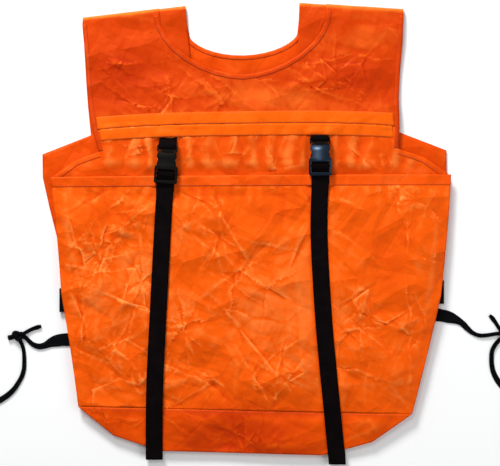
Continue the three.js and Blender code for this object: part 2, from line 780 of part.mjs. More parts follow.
// ---- Side elastics and ties ---------------------------------------------------------
// The elastic is a folded piece between the two panels, its bend facing out.
function sideElastic(side) {
  const low = backTop + touch;
  const high = frontBottom - touch;
  const radius = (high - low) / 2;
  const middle = radius - elasticThickness / 2;
  const [edgeX] = lay([side.sign * (pouchHalfWidthAt(side.elasticY) + elasticBulge), side.elasticY]);
  const outline = [
    [-elasticLeg, low + elasticThickness / 2],
    ...arc(-radius, low + radius, middle, -90, 90, 8),
    [-elasticLeg, high - elasticThickness / 2],
  ];
  const geometry = ribbon(outline, elasticThickness, elasticWidth);
  geometry.rotateZ(side.sign > 0 ? -Math.PI / 2 : Math.PI / 2);
  geometry.translate(edgeX, side.elasticY, 0);
  return geometry;
}

function tube(points, diameter, steps, sidesCount = 10) {
  const curve = new THREE.CatmullRomCurve3(points.map((point) => new THREE.Vector3(...point)));
  const section = new THREE.Shape();
  section.absarc(0, 0, diameter / 2, 0, Math.PI * 2, false);
  return new THREE.ExtrudeGeometry(section, {
    steps,
    extrudePath: curve,
    curveSegments: Math.ceil(sidesCount / 2),
    bevelEnabled: false,
  });
}

function roundKnot(centre, turn) {
  const geometry = new THREE.SphereGeometry(0.5, 14, 10);
  geometry.scale(knotLength, knotWidth, knotHeight);
  geometry.rotateZ(turn);
  geometry.translate(...centre);
  return geometry;
}

// Routes of the tie tapes, chosen by hand, from the side of the vest outward.
const tieRoutes = {
  left: {
    tape: [
      [-260.5, -158, 3.5], [-274, -159, 3.4], [-287, -162, 3.3], [-298, -167, 3.3],
      [-307, -168.5, 3.3], [-316, -165, 3.3], [-322, -159.5, 3.3], [-325.5, -156, 3.6],
    ],
    knot: [-336, -152.5, 4.7],
    turn: -0.15,
    shortEnd: [
      [-330, -150, 5], [-324, -146.5, 4], [-317, -143, 3.3], [-310, -140.5, 3.3],
      [-303, -138.5, 3.3],
    ],
    stub: [[-340, -153.5, 5], [-346, -154.5, 4], [-352, -156, 3.4]],
    tail: [
      [-334, -160.5, 3.6], [-331, -167, 3.3], [-329, -175, 3.3], [-328.3, -184, 3.3],
      [-328.3, -194, 3.3], [-329, -203, 3.3], [-332, -213, 3.3], [-337, -222, 3.3],
      [-343, -231, 3.3], [-351, -239, 3.3], [-361, -246, 3.3], [-372, -251, 3.3],
      [-384, -254, 3.3], [-396, -255, 3.3], [-408, -254, 3.3],
    ],
  },
  right: {
    tape: [
      [277.5, -121.5, 3.5], [286, -122.5, 3.4], [296, -124.5, 3.3], [308, -128.5, 3.3],
      [318, -134, 3.3], [326, -142, 3.3], [334, -148.5, 3.3], [344, -152.3, 3.3],
      [356, -151.8, 3.3], [364, -150.4, 3.4], [370, -149.6, 3.6],
    ],
    knot: [381.5, -149.4, 4.7],
    turn: 0.1,
    shortEnd: [
      [376, -146, 5], [371.5, -139.5, 4], [367.5, -133, 3.3], [363, -127, 3.3],
      [358.5, -122.5, 3.3],
    ],
    stub: [[386, -149, 5], [392, -149, 4], [398, -150, 3.4]],
    tail: [
      [376, -156.5, 3.6], [370.5, -161.5, 3.3], [366, -167.5, 3.3], [362.5, -175, 3.3],
      [361.5, -184, 3.3], [361.7, -194, 3.3], [363.5, -204, 3.3], [367.5, -213.5, 3.3],
      [373, -222, 3.3], [380.5, -230, 3.3], [389, -237, 3.3], [399, -242, 3.3],
      [410, -245, 3.3], [421, -246, 3.3],
    ],
  },
};

sides.forEach((side) => {
  addMesh(`${side.name}_side_elastic`, sideElastic(side), blackWebbing);
  const route = tieRoutes[side.name];
  const knot = roundKnot(route.knot, route.turn);
  const ends = [route.shortEnd, route.stub].map((points) => tube(points, tapeDiameter - 0.6, 8));
  const knotSolid = ends.reduce((solid, end) => solid.add(toSolid(end)), toSolid(knot));
  addMesh(`${side.name}_tie_knot`, toGeometry(knotSolid), blackWebbing);
  const grown = new THREE.SphereGeometry(0.5, 20, 14);
  grown.scale(knotLength + touch * 2, knotWidth + touch * 2, knotHeight + touch * 2);
  grown.rotateZ(route.turn);
  grown.translate(...route.knot);
  const around = toSolid(grown);
  const tape = toSolid(tube(route.tape, tapeDiameter, 24)).subtract(around);
  addMesh(`${side.name}_tie_tape`, toGeometry(tape), blackWebbing);
  const tail = toSolid(tube(route.tail, tapeDiameter, 30)).subtract(around);
  addMesh(`${side.name}_tie_tail`, toGeometry(tail), blackWebbing);
});

export default group;
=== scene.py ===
# %% [markdown]
# # A pullover vest, lying flat with its pouch up
# The CAD model holds every size and every moving piece. This lesson dresses it: thin coated
# nylon that has been folded small and opened again, black webbing, moulded buckles and ties.

# %% Load the frame
import math
import random

import bmesh
import bpy
import numpy as np
from mathutils import Matrix, Vector, geometry, noise
from mathutils.bvhtree import BVHTree


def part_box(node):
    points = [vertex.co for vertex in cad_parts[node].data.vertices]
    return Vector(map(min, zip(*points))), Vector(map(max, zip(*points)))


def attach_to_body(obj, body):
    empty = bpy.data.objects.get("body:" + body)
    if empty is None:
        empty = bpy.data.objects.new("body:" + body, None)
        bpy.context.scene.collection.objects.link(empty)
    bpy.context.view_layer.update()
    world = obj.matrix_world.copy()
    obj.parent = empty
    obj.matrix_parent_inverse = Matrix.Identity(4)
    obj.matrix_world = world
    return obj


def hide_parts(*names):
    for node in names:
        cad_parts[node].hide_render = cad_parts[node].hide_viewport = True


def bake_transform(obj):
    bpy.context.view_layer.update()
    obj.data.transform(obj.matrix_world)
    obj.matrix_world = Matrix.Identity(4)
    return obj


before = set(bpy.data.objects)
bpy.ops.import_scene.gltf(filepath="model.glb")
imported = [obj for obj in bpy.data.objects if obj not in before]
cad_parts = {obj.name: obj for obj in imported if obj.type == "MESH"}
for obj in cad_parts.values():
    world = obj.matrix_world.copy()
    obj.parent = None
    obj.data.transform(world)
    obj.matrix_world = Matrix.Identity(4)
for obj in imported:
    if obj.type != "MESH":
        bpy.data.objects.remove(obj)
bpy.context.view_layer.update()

MM = 0.001
SIDES = {"left": -1, "right": 1}

# %% [markdown]
# ## Camera and light
# A vest laid out on a table is looked at from straight above. A long lens far away keeps its
# edges from leaning. Creases only show when the light comes from one side, so the strongest of
# three soft lamps stands low beyond the collar. A weak one high up puts the gloss on the
# cloth, a third opens the shadows from the right, and an even sky does the rest.

# %% Camera and light
VIEW_WIDTH = 0.735
VIEW_LEVEL = 0.012
CAMERA_HEIGHT = 2.6
VIEW_MIDDLE = (0.005, -0.001)
SENSOR = 36.0

camera_data = bpy.data.cameras.new("camera")
camera_data.sensor_width = SENSOR
camera_data.lens = SENSOR * (CAMERA_HEIGHT - VIEW_LEVEL) / VIEW_WIDTH
camera = bpy.data.objects.new("camera", camera_data)
camera.location = (VIEW_MIDDLE[0], VIEW_MIDDLE[1], CAMERA_HEIGHT)
bpy.context.collection.objects.link(camera)
bpy.context.scene.camera = camera
bpy.context.scene.view_settings.view_transform = "Standard"


def area_light(name, place, size, power):
    """A round lamp that shines at the middle of the vest."""
    light = bpy.data.lights.new(name, "AREA")
    light.shape = "DISK"
    light.size = size
    light.energy = power
    lamp = bpy.data.objects.new(name, light)
    lamp.location = place
    lamp.rotation_euler = (-Vector(place)).to_track_quat("-Z", "Y").to_euler()
    bpy.context.collection.objects.link(lamp)


area_light("key", (-0.75, 2.1, 1.25), 0.7, 70.0)
area_light("gloss", (-0.55, 0.95, 2.3), 0.8, 11.0)
area_light("fill", (1.6, -0.5, 1.5), 1.4, 10.0)

world = bpy.data.worlds.new("sky")
bpy.context.scene.world = world
world.use_nodes = True
sky = world.node_tree.nodes["Background"].inputs
sky["Color"].default_value = (0.97, 0.985, 1.0, 1)
sky["Strength"].default_value = 0.36
print("camera at", CAMERA_HEIGHT, "m, view", VIEW_WIDTH, "m wide")

# %% [markdown]
# ## Helpers, and the floor
# Every finish is a tree of nodes. One helper makes a node and fills its inputs, each with a
# value or with another node's output. A second turns finished mesh work into an object, and a
# third says which body carries a piece. The pale floor comes first.

# %% Helpers, and the floor
FLOOR_DROP = 0.0004
FLOOR_HALF_SIZE = 3.0


def feed(tree, node, inputs):
    for key, value in inputs.items():
        if isinstance(value, bpy.types.NodeSocket):
            tree.links.new(value, node.inputs[key])
        else:
            node.inputs[key].default_value = value


def add_node(tree, kind, inputs=None, **settings):
    """A new node; settings are its own choices, inputs are values or other nodes' outputs."""
    node = tree.nodes.new("ShaderNode" + kind)
    for key, value in settings.items():
        setattr(node, key, value)
    feed(tree, node, inputs or {})
    return node


def new_material(name):
    material = bpy.data.materials.new(name)
    material.use_nodes = True
    return material, material.node_tree, material.node_tree.nodes["Principled BSDF"]


def object_from(bm, name, material, smooth=True):
    for face in bm.faces:
        face.smooth = smooth
    mesh = bpy.data.meshes.new(name)
    bm.to_mesh(mesh)
    bm.free()
    mesh.materials.append(material)
    piece = bpy.data.objects.new(name, mesh)
    bpy.context.collection.objects.link(piece)
    return piece


def attach(piece, body="vest"):
    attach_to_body(piece, body)


floor_paint, floor_tree, floor_shader = new_material("floor_paint")
feed(floor_tree, floor_shader, {
    "Base Color": (0.97, 0.97, 0.97, 1), "Roughness": 0.9, "Specular IOR Level": 0.1,
})
floor_bm = bmesh.new()
bmesh.ops.create_grid(floor_bm, x_segments=1, y_segments=1, size=FLOOR_HALF_SIZE)
floor = object_from(floor_bm, "floor", floor_paint, smooth=False)
floor.location.z = -FLOOR_DROP
print("floor:", 2 * FLOOR_HALF_SIZE, "m square")

# %% [markdown]
# ## Shared effects for the finishes
# Cloth, webbing and tape are all woven, so one node group makes the relief of a plain weave
# from two crossed waves. A second group turns the `fold` value that each sheet carries, high on
# ridges and low in valleys, into a little more or less colour: painted highlight on the ridges
# and painted shade in the valleys, with a little wear of the coating as well. A third is the
# relief of creases too small for the mesh. Groups are built once, and each finish puts its own
# values in.

# %% Helpers for node groups
def new_group(name, inputs, outputs):
    """A shader group; gives the tree, what comes in, and the sockets that go out."""
    group = bpy.data.node_groups.new(name, "ShaderNodeTree")
    for socket_name, kind, value in inputs:
        socket = group.interface.new_socket(
            socket_name, in_out="INPUT", socket_type="NodeSocket" + kind,
        )
        if value is not None:
            socket.default_value = value
    for socket_name, kind in outputs:
        group.interface.new_socket(
            socket_name, in_out="OUTPUT", socket_type="NodeSocket" + kind,
        )
    return group, group.nodes.new("NodeGroupInput").outputs, group.nodes.new("NodeGroupOutput")


def math_node(tree, operation, first, second, clamp=False):
    node = add_node(tree, "Math", {0: first, 1: second}, operation=operation, use_clamp=clamp)
    return node.outputs[0]


def wave_node(tree, vector, direction, scale, distortion, detail_scale):
    node = add_node(tree, "TexWave", {
        "Vector": vector, "Scale": scale, "Distortion": distortion, "Detail Scale": detail_scale,
    }, wave_type="BANDS", bands_direction=direction)
    return node.outputs["Fac"]


# %% The weave, as a group
def make_weave_group():
    group, source, sink = new_group(
        "weave_relief", [("Vector", "Vector", None), ("Scale", "Float", 600.0)],
        [("Height", "Float")],
    )
    waves = [
        wave_node(group, source["Vector"], direction, source["Scale"], 0.6, 2.0)
        for direction in ("X", "Y")
    ]
    feed(group, sink, {"Height": math_node(group, "MULTIPLY", *waves)})
    return group


WEAVE = make_weave_group()
print("node group:", WEAVE.name)


# %% Folds, as a group
def make_fold_group():
    group, source, sink = new_group("fold_colour", [
        ("Fold", "Float", 0.5), ("Patch", "Float", 0.5), ("Valley", "Color", (0.7, 0.1, 0.01, 1)),
        ("Cloth", "Color", (0.9, 0.15, 0.01, 1)), ("Ridge", "Color", (1, 0.3, 0.05, 1)),
    ], [("Color", "Color")])
    spread = math_node(group, "SUBTRACT", source["Patch"], 0.5)
    spread = math_node(group, "MULTIPLY", spread, 0.35)
    total = math_node(group, "ADD", source["Fold"], spread, clamp=True)
    low = math_node(group, "MULTIPLY", total, 2.0, clamp=True)
    high = math_node(group, "MULTIPLY", math_node(group, "SUBTRACT", total, 0.5), 2.0, clamp=True)
    # Valley colour is painted shade, Ridge colour a painted highlight, Cloth the colour between them.
    colour = source["Valley"]
    for share, above in ((low, "Cloth"), (high, "Ridge")):
        mixed = add_node(
            group, "Mix", {"Factor": share, "A": colour, "B": source[above]}, data_type="RGBA",
        )
        colour = mixed.outputs["Result"]
    feed(group, sink, {"Color": colour})
    return group


FOLD = make_fold_group()
print("node group:", FOLD.name)


# %% Fine crumples, as a group
def make_crumple_group():
    """Small creases: cells with flat facets, in three sizes, each turned another way."""
    group, source, sink = new_group(
        "crumple_relief", [("Vector", "Vector", None)], [("Height", "Float")],
    )
    warp = add_node(group, "TexNoise", {"Vector": source["Vector"], "Scale": 7.0, "Detail": 1.0})
    centred = add_node(
        group, "VectorMath", {0: warp.outputs["Color"], 1: (0.5, 0.5, 0.5)}, operation="SUBTRACT",
    )
    shifted = add_node(group, "VectorMath", {
        0: centred.outputs[0], 1: (0.07, 0.07, 0.0), 2: source["Vector"],
    }, operation="MULTIPLY_ADD")
    total = None
    for metric, cells, turn, share in (
        ("MANHATTAN", 17.0, 0.5, 1.0), ("CHEBYCHEV", 31.0, 1.25, 0.62), ("MANHATTAN", 68.0, 0.2, 0.3),
    ):
        turned = add_node(
            group, "Mapping", {"Vector": shifted.outputs[0], "Rotation": (0, 0, turn)},
        )
        cell = add_node(
            group, "TexVoronoi", {"Vector": turned.outputs["Vector"], "Scale": cells},
            voronoi_dimensions="2D", distance=metric,
        )
        part = math_node(group, "MULTIPLY", cell.outputs["Distance"], share * 17.0 / cells * 1.6)
        total = part if total is None else math_node(group, "ADD", total, part)
    feed(group, sink, {"Height": total})
    return group


CRUMPLE = make_crumple_group()
print("node group:", CRUMPLE.name)


# %% [markdown]
# ## The coated nylon
# The real cloth is thin nylon with a shiny coating, in signal orange. Its colour is nearly even,
# so what the eye reads is the creases: each facet catches the light on its own. One shader with
# six sets of values dresses every sheet: half-gloss with a reflection tinted orange, a fine
# weave, and short crinkles between the facets that the mesh itself holds. The six sets are lit
# and shaded copies of the one cloth: painted shade darkens the yoke, the back and the pouch's
# floor, and painted light brightens the pouch and the bands.

# %% Helpers for the cloth
CLOTH_SHINE = 0.34
SHINE_TINT = (1.0, 0.42, 0.10, 1)


def noise_node(tree, vector, scale, **more):
    return add_node(tree, "TexNoise", {"Vector": vector, "Scale": scale, **more}).outputs["Fac"]


def bump_node(tree, height, distance, strength=1.0, below=None):
    """The normal of a relief, on top of the relief below it."""
    inputs = {"Height": height, "Distance": distance, "Strength": strength}
    if below is not None:
        inputs["Normal"] = below
    return add_node(tree, "Bump", inputs).outputs["Normal"]


def uneven(tree, value, low, high):
    """Spreads a pattern's 0 to 1 between two roughnesses."""
    return add_node(
        tree, "MapRange", {"Value": value, "To Min": low, "To Max": high},
    ).outputs["Result"]


def two_tone(tree, value, colour, low, high, stops=(0.0, 1.0)):
    """A ramp between two strengths of one colour."""
    ramp = add_node(tree, "ValToRGB", {"Fac": value})
    for stop, place, strength in zip(ramp.color_ramp.elements, stops, (low, high)):
        stop.position = place
        stop.color = (*[part * strength for part in colour], 1)
    return ramp.outputs["Color"]


# %% Coated nylon
def coated_nylon(name, valley, cloth, ridge, roughness, relief):
    material, tree, shader = new_material(name)
    place = add_node(tree, "TexCoord").outputs["Object"]
    patch = noise_node(tree, place, 28.0, Detail=3.0)
    # The fold colours paint shade into the valleys and a highlight onto the ridges.
    colour = add_node(tree, "Group", {
        "Fold": add_node(tree, "Attribute", attribute_name="fold").outputs["Fac"],
        "Patch": patch, "Valley": (*valley, 1), "Cloth": (*cloth, 1), "Ridge": (*ridge, 1),
    }, node_tree=FOLD)
    crinkle = add_node(tree, "Group", {"Vector": place}, node_tree=CRUMPLE)
    weave = add_node(tree, "Group", {"Vector": place, "Scale": 520.0}, node_tree=WEAVE)
    wrinkles = bump_node(tree, crinkle.outputs["Height"], relief)
    feed(tree, shader, {
        "Base Color": colour.outputs["Color"],
        "Normal": bump_node(tree, weave.outputs["Height"], 0.00006, 0.25, wrinkles),
        "Roughness": uneven(tree, patch, roughness - 0.07, roughness + 0.09),
        "Specular IOR Level": CLOTH_SHINE,
        "Specular Tint": SHINE_TINT,
    })
    return material


# Lit and shaded copies of one cloth: the darker ones are painted shade, the lighter ones painted light.
lit_pouch_nylon = coated_nylon(
    "lit_pouch_nylon", (0.68, 0.046, 0.001), (0.86, 0.096, 0.002), (1.0, 0.27, 0.055), 0.48, 0.0036,
)
panel_nylon = coated_nylon(
    "panel_nylon", (0.62, 0.036, 0.001), (0.79, 0.076, 0.002), (1.0, 0.25, 0.045), 0.48, 0.0028,
)
shaded_back_nylon = coated_nylon(
    "shaded_back_nylon", (0.60, 0.030, 0.001), (0.74, 0.060, 0.001), (1.0, 0.19, 0.020), 0.48, 0.0028,
)
shaded_yoke_nylon = coated_nylon(
    "shaded_yoke_nylon", (0.44, 0.016, 0.001), (0.60, 0.040, 0.001), (0.94, 0.16, 0.016), 0.50, 0.0024,
)
shaded_foot_nylon = coated_nylon(
    "shaded_foot_nylon", (0.54, 0.026, 0.001), (0.80, 0.074, 0.001), (0.98, 0.19, 0.020), 0.50, 0.0024,
)
band_nylon = coated_nylon(
    "band_nylon", (0.74, 0.066, 0.001), (0.85, 0.108, 0.002), (1.0, 0.21, 0.020), 0.48, 0.0012,
)


print("cloth:", [material.name for material in bpy.data.materials])

# %% [markdown]
# ## Thread
# The seams are sewn with orange thread, matt and a little hairy. It is far too thin to show its
# own twist, so a plain rough finish with some sheen will do. The bands and the neck have a
# darker one, the other seams a lighter one.

# %% Thread
def thread_material(name, colour):
    material, tree, shader = new_material(name)
    place = add_node(tree, "TexCoord").outputs["Object"]
    feed(tree, shader, {
        "Base Color": two_tone(tree, noise_node(tree, place, 900.0), colour, 0.75, 1.0),
        "Roughness": 0.7, "Sheen Weight": 0.3,
    })
    return material


dark_thread = thread_material("dark_thread", (0.46, 0.022, 0.001))
soft_thread = thread_material("soft_thread", (0.66, 0.044, 0.002))
print("thread:", dark_thread.name, soft_thread.name)

# %% [markdown]
# ## Webbing, elastic and tape
# Webbing is woven in ribs across its length; tape and elastic are the same with finer ribs. The
# ribs could be modelled one by one, but they are finer than a millimetre or two, so a wave
# along the ribbon's own length map gives them as relief.

# %% Webbing, elastic and tape
WAVE_FACTOR = 20  # a wave node repeats this many times in tau units at a scale of 1


def ribbed_black(name, colour, ribs_per_metre, depth, roughness):
    material, tree, shader = new_material(name)
    length_map = add_node(tree, "UVMap", uv_map="along").outputs["UV"]
    ribs = wave_node(tree, length_map, "Y", ribs_per_metre * math.tau / WAVE_FACTOR, 0.8, 3.0)
    weave = add_node(tree, "Group", {"Vector": length_map, "Scale": 320.0}, node_tree=WEAVE)
    both = math_node(tree, "ADD", ribs, weave.outputs["Height"])
    place = add_node(tree, "TexCoord").outputs["Object"]
    dust = noise_node(tree, place, 60.0, Detail=4.0)
    feed(tree, shader, {
        "Base Color": two_tone(tree, dust, colour, 1.0, 1.9, (0.35, 0.75)),
        "Normal": bump_node(tree, both, depth, 0.6),
        "Roughness": roughness, "Specular IOR Level": 0.03,
    })
    return material


webbing_black = ribbed_black("webbing_black", (0.0022, 0.0011, 0.0013), 700, 0.0003, 0.7)
elastic_black = ribbed_black("elastic_black", (0.003, 0.003, 0.004), 900, 0.0003, 0.75)
tape_black = ribbed_black("tape_black", (0.0026, 0.0026, 0.0034), 1100, 0.0002, 0.75)
print("ribbed:", webbing_black.name, elastic_black.name, tape_black.name)

# %% [markdown]
# ## Moulded plastic
# The buckles are moulded black plastic with a faint grain. The right shell is a lit copy of it:
# shinier, and its reflection is tinted blue, a painted blue reflection, as the lamps are near
# white. Every other part has a duller copy. A flat face would mirror a lamp as one even patch,
# so it is domed a little by a relief: its glint fades out over the face as it does on a real
# moulding.

# %% Moulded plastic
CROWN_RADIUS = 0.050
RIGHT_CROWN = (0.1125, 0.101, 0.0236)


def moulded_plastic(name, shade, tint, shine, roughness, crown=None):
    """Moulded plastic; a crown is the middle of a face that is very slightly domed."""
    material, tree, shader = new_material(name)
    place = add_node(tree, "TexCoord").outputs["Object"]
    dome = None
    if crown:
        away = add_node(tree, "VectorMath", {0: place, 1: crown}, operation="DISTANCE")
        squared = math_node(tree, "POWER", away.outputs["Value"], 2.0)
        fall = math_node(tree, "MULTIPLY", squared, -1 / (2 * CROWN_RADIUS))
        dome = bump_node(tree, fall, 1.0)
    grain = noise_node(tree, place, 1800.0, Detail=2.0)
    smudge = noise_node(tree, place, 150.0)
    feed(tree, shader, {
        "Base Color": two_tone(tree, smudge, shade, 1.0, 1.6),
        "Normal": bump_node(tree, grain, 0.0001, 0.12, dome),
        "Roughness": uneven(tree, smudge, roughness - 0.06, roughness + 0.08),
        "Specular Tint": (*tint, 1), "Specular IOR Level": shine,
    })
    return material


dull_plastic = moulded_plastic(
    "dull_plastic", (0.0035, 0.003, 0.0025), (0.9, 0.85, 0.75), 0.08, 0.44,
)
# The right shell: a lit copy, whose blue specular tint paints a bluish reflection that the lamps don't
# give.
shiny_plastic = moulded_plastic(
    "shiny_plastic", (0.003, 0.005, 0.009), (0.42, 0.66, 1.0), 0.5, 0.33, RIGHT_CROWN,
)
print("finishes:", len(bpy.data.materials))


# %% [markdown]
# ## Ribbons
# Webbing, tape and elastic are all flat ribbons that follow a line. A ribbon is swept from one
# cross-section: at each station of the line the section is turned to stay level across, and
# neighbouring sections are joined. A curve with a bevel would be shorter to write. Mesh code
# was chosen because it keeps the section level where the ribbon turns over, and lays a length
# map in metres, so that the ribs keep their spacing round the bends.

# %% Lines and rings
def smooth_line(points, step):
    """Points at even steps on a smooth curve through the given ones."""
    result = []
    for index in range(len(points) - 1):
        p0 = Vector(points[max(index - 1, 0)])
        p1 = Vector(points[index])
        p2 = Vector(points[index + 1])
        p3 = Vector(points[min(index + 2, len(points) - 1)])
        count = max(1, round((p2 - p1).length / step))
        for k in range(count):
            t = k / count
            result.append(0.5 * (
                2 * p1 + (p2 - p0) * t + (2 * p0 - 5 * p1 + 4 * p2 - p3) * t * t
                + (3 * p1 - p0 - 3 * p2 + p3) * t ** 3
            ))
    result.append(Vector(points[-1]))
    return result


def line_length(points):
    return sum((Vector(b) - Vector(a)).length for a, b in zip(points, points[1:]))


def join_rings(bm, rings):
    """Quads between each ring of vertices and the next."""
    for first, second in zip(rings, rings[1:]):
        for k in range(len(first)):
            n = (k + 1) % len(first)
            bm.faces.new((first[k], first[n], second[n], second[k]))


print("a line of 0.1 m:", len(smooth_line([(0, 0, 0), (0.1, 0, 0)], 0.01)), "points")


# %% Ribbon helper
MAP_WIDTH = 0.05


def sweep(name, line, section_at, material):
    """A closed body: section_at(share) gives (across, up) pairs, the same number each time."""
    bm = bmesh.new()
    rings = []
    marks = []
    across = None
    travelled = 0.0
    total = line_length(line)
    for index, point in enumerate(line):
        ahead = line[min(index + 1, len(line) - 1)] - line[max(index - 1, 0)]
        flat = Vector((ahead.x, ahead.y, 0))
        if across is None or flat.length > 0.25 * ahead.length:
            side = Vector((ahead.y, -ahead.x, 0)).normalized()
            if across is not None and side.dot(across) < 0:
                side = -side
            across = side
        up = across.cross(ahead).normalized()
        if index:
            travelled += (point - line[index - 1]).length
        ring = [
            bm.verts.new(point + across * a + up * h)
            for a, h in section_at(travelled / total)
        ]
        rings.append(ring)
        marks.append(travelled)
    join_rings(bm, rings)
    bm.faces.new(rings[0][::-1])
    bm.faces.new(rings[-1])
    bmesh.ops.recalc_face_normals(bm, faces=bm.faces)
    uv = bm.loops.layers.uv.new("along")
    place = {}
    for ring, mark in zip(rings, marks):
        for k, vertex in enumerate(ring):
            place[vertex] = (k / len(ring) * MAP_WIDTH, mark)
    for face in bm.faces:
        for loop in face.loops:
            loop[uv].uv = place[loop.vert]
    return object_from(bm, name, material)


def flat_section(width, thickness, steps=8):
    """A flat band with round selvedges."""
    half = width / 2
    edge = thickness / 2
    top = [(-half + edge + (width - thickness) * k / steps, edge) for k in range(steps + 1)]
    right = [(half, 0)]
    bottom = [(a, -h) for a, h in reversed(top)]
    return top + right + bottom + [(-half, 0)]


print("a flat section:", len(flat_section(0.025, 0.0014)), "points")


# %% [markdown]
# ## Tie tapes
# Each tie is a soft black tape, 20 mm wide, that leaves the side of the vest flat and soon
# crumples into a cord, goes through an overhand knot and runs on as a loose tail. A round cord
# would lose the flat ends, so it is swept with a pleated section whose pleats deepen where the
# tape is narrow. Its route is the one the CAD model has.

# %% Tie routes, as in the CAD model
TAPE_WIDTH = 0.020
TIE_ROUTES = {
    "left": {
        "tape": [
            (-260.5, -158, 3.5), (-274, -159, 3.4), (-287, -162, 3.3), (-298, -167, 3.3),
            (-307, -168.5, 3.3), (-316, -165, 3.3), (-322, -159.5, 3.3), (-325.5, -156, 3.6),
        ],
        "knot": (-336, -152.5, 4.7),
        "turn": -0.15,
        "short_end": [
            (-330, -150, 5), (-324, -146.5, 4), (-317, -143, 3.3), (-310, -140.5, 3.3),
            (-303, -138.5, 3.3),
        ],
        "stub": [(-340, -153.5, 5), (-346, -154.5, 4), (-352, -156, 3.4)],
        "tail": [
            (-334, -160.5, 3.6), (-331, -167, 3.3), (-329, -175, 3.3), (-328.3, -184, 3.3),
            (-328.3, -194, 3.3), (-329, -203, 3.3), (-332, -213, 3.3), (-337, -222, 3.3),
            (-343, -231, 3.3), (-351, -239, 3.3), (-361, -246, 3.3), (-372, -251, 3.3),
            (-384, -254, 3.3), (-396, -255, 3.3), (-408, -254, 3.3),
        ],
    },
    "right": {
        "tape": [
            (277.5, -121.5, 3.5), (286, -122.5, 3.4), (296, -124.5, 3.3), (308, -128.5, 3.3),
            (318, -134, 3.3), (326, -142, 3.3), (334, -148.5, 3.3), (344, -152.3, 3.3),
            (356, -151.8, 3.3), (364, -150.4, 3.4), (370, -149.6, 3.6),
        ],
        "knot": (381.5, -149.4, 4.7),
        "turn": 0.1,
        "short_end": [
            (376, -146, 5), (371.5, -139.5, 4), (367.5, -133, 3.3), (363, -127, 3.3),
            (358.5, -122.5, 3.3),
        ],
        "stub": [(386, -149, 5), (392, -149, 4), (398, -150, 3.4)],
        "tail": [
            (376, -156.5, 3.6), (370.5, -161.5, 3.3), (366, -167.5, 3.3), (362.5, -175, 3.3),
            (361.5, -184, 3.3), (361.7, -194, 3.3), (363.5, -204, 3.3), (367.5, -213.5, 3.3),
            (373, -222, 3.3), (380.5, -230, 3.3), (389, -237, 3.3), (399, -242, 3.3),
            (410, -245, 3.3), (421, -246, 3.3),
        ],
    },
}

print("points of the tapes:", {side: len(TIE_ROUTES[side]["tape"]) for side in SIDES})


# %% The scrunched tape
def metres(points):
    return [tuple(value * MM for value in point) for point in points]


def mix(a, b, share):
    return a + (b - a) * share


def ease(share):
    share = min(1.0, max(0.0, share))
    return share * share * (3 - 2 * share)


def ripple(a, b, c):
    """Smooth noise between about -1 and 1."""
    return noise.noise(Vector((a, b, c)))


TAPE_THICKNESS = 0.0007
TAPE_STEPS = 22
TAPE_RISE = 0.0046
TAPE_SINK = 0.0022


def tape_section(width, pleats, phase):
    """A tape whose cloth stays as long across while its width shrinks: it rises in pleats."""
    rise = max(0.0, min(TAPE_RISE, 0.32 * (TAPE_WIDTH - width) / max(1.0, pleats)))
    top = []
    for k in range(TAPE_STEPS + 1):
        u = 2 * k / TAPE_STEPS - 1
        wave = 0.5 - 0.5 * math.cos(math.pi * pleats * (u + 1) + phase)
        crown = math.sqrt(max(0.0, 1 - 0.75 * u * u))
        top.append((width / 2 * u, rise * (0.25 + 0.75 * wave) * crown))
    bottom = [(a, h - TAPE_THICKNESS) for a, h in reversed(top)]
    return [(a, h - TAPE_SINK) for a, h in top + bottom]


def tie_piece(name, points, widths, pleats, seed):
    """widths is a list of (share of the length, width)."""
    line = smooth_line(metres(points), 0.0025)

    def section(share):
        width = widths[-1][1]
        for (s0, w0), (s1, w1) in zip(widths, widths[1:]):
            if s0 <= share <= s1:
                width = mix(w0, w1, ease((share - s0) / (s1 - s0)))
                break
        return tape_section(width, pleats, 2.2 * ripple(share * 3.1, seed, 0))

    return sweep(name, line, section, tape_black), line


print("a tape section:", len(tape_section(0.008, 4, 0)), "points")


# %% [markdown]
# ## The knots
# An overhand knot in soft tape is a small lump of two or three turns. A trefoil line is the
# overhand knot closed on itself, so a thick, pleated section swept once round it gives the lump
# its real crossings. The short end and the stub come out of it as flat tape.

# %% The knot
KNOT_STEPS = 72
KNOT_SIDES = 14
KNOT_RADIUS = 0.0023


def knot_piece(name, route):
    centre = Vector(route["knot"]) * MM
    turn = Matrix.Rotation(route["turn"], 3, "Z")
    bm = bmesh.new()
    line = []
    for k in range(KNOT_STEPS):
        t = math.tau * k / KNOT_STEPS
        x = (math.sin(t) + 2 * math.sin(2 * t)) * 0.0027
        y = (math.cos(t) - 2 * math.cos(2 * t)) * 0.0019
        z = -math.sin(3 * t) * 0.0014
        line.append(turn @ Vector((x, y, z)) + centre)
    rings = []
    for k, point in enumerate(line):
        ahead = (line[(k + 1) % KNOT_STEPS] - line[k - 1]).normalized()
        side = ahead.cross(Vector((0, 0, 1))).normalized()
        up = side.cross(ahead)
        ring = []
        for j in range(KNOT_SIDES):
            angle = math.tau * j / KNOT_SIDES
            radius = KNOT_RADIUS * (1 + 0.16 * math.cos(5 * angle + k * 0.1))
            offset = side * math.cos(angle) * radius * 1.15 + up * math.sin(angle) * radius
            ring.append(bm.verts.new(point + offset))
        rings.append(ring)
    join_rings(bm, rings + rings[:1])
    bmesh.ops.recalc_face_normals(bm, faces=bm.faces)
    bm.loops.layers.uv.new("along")
    return object_from(bm, name, tape_black)


print("knots:", KNOT_STEPS, "rings of", KNOT_SIDES, "points")


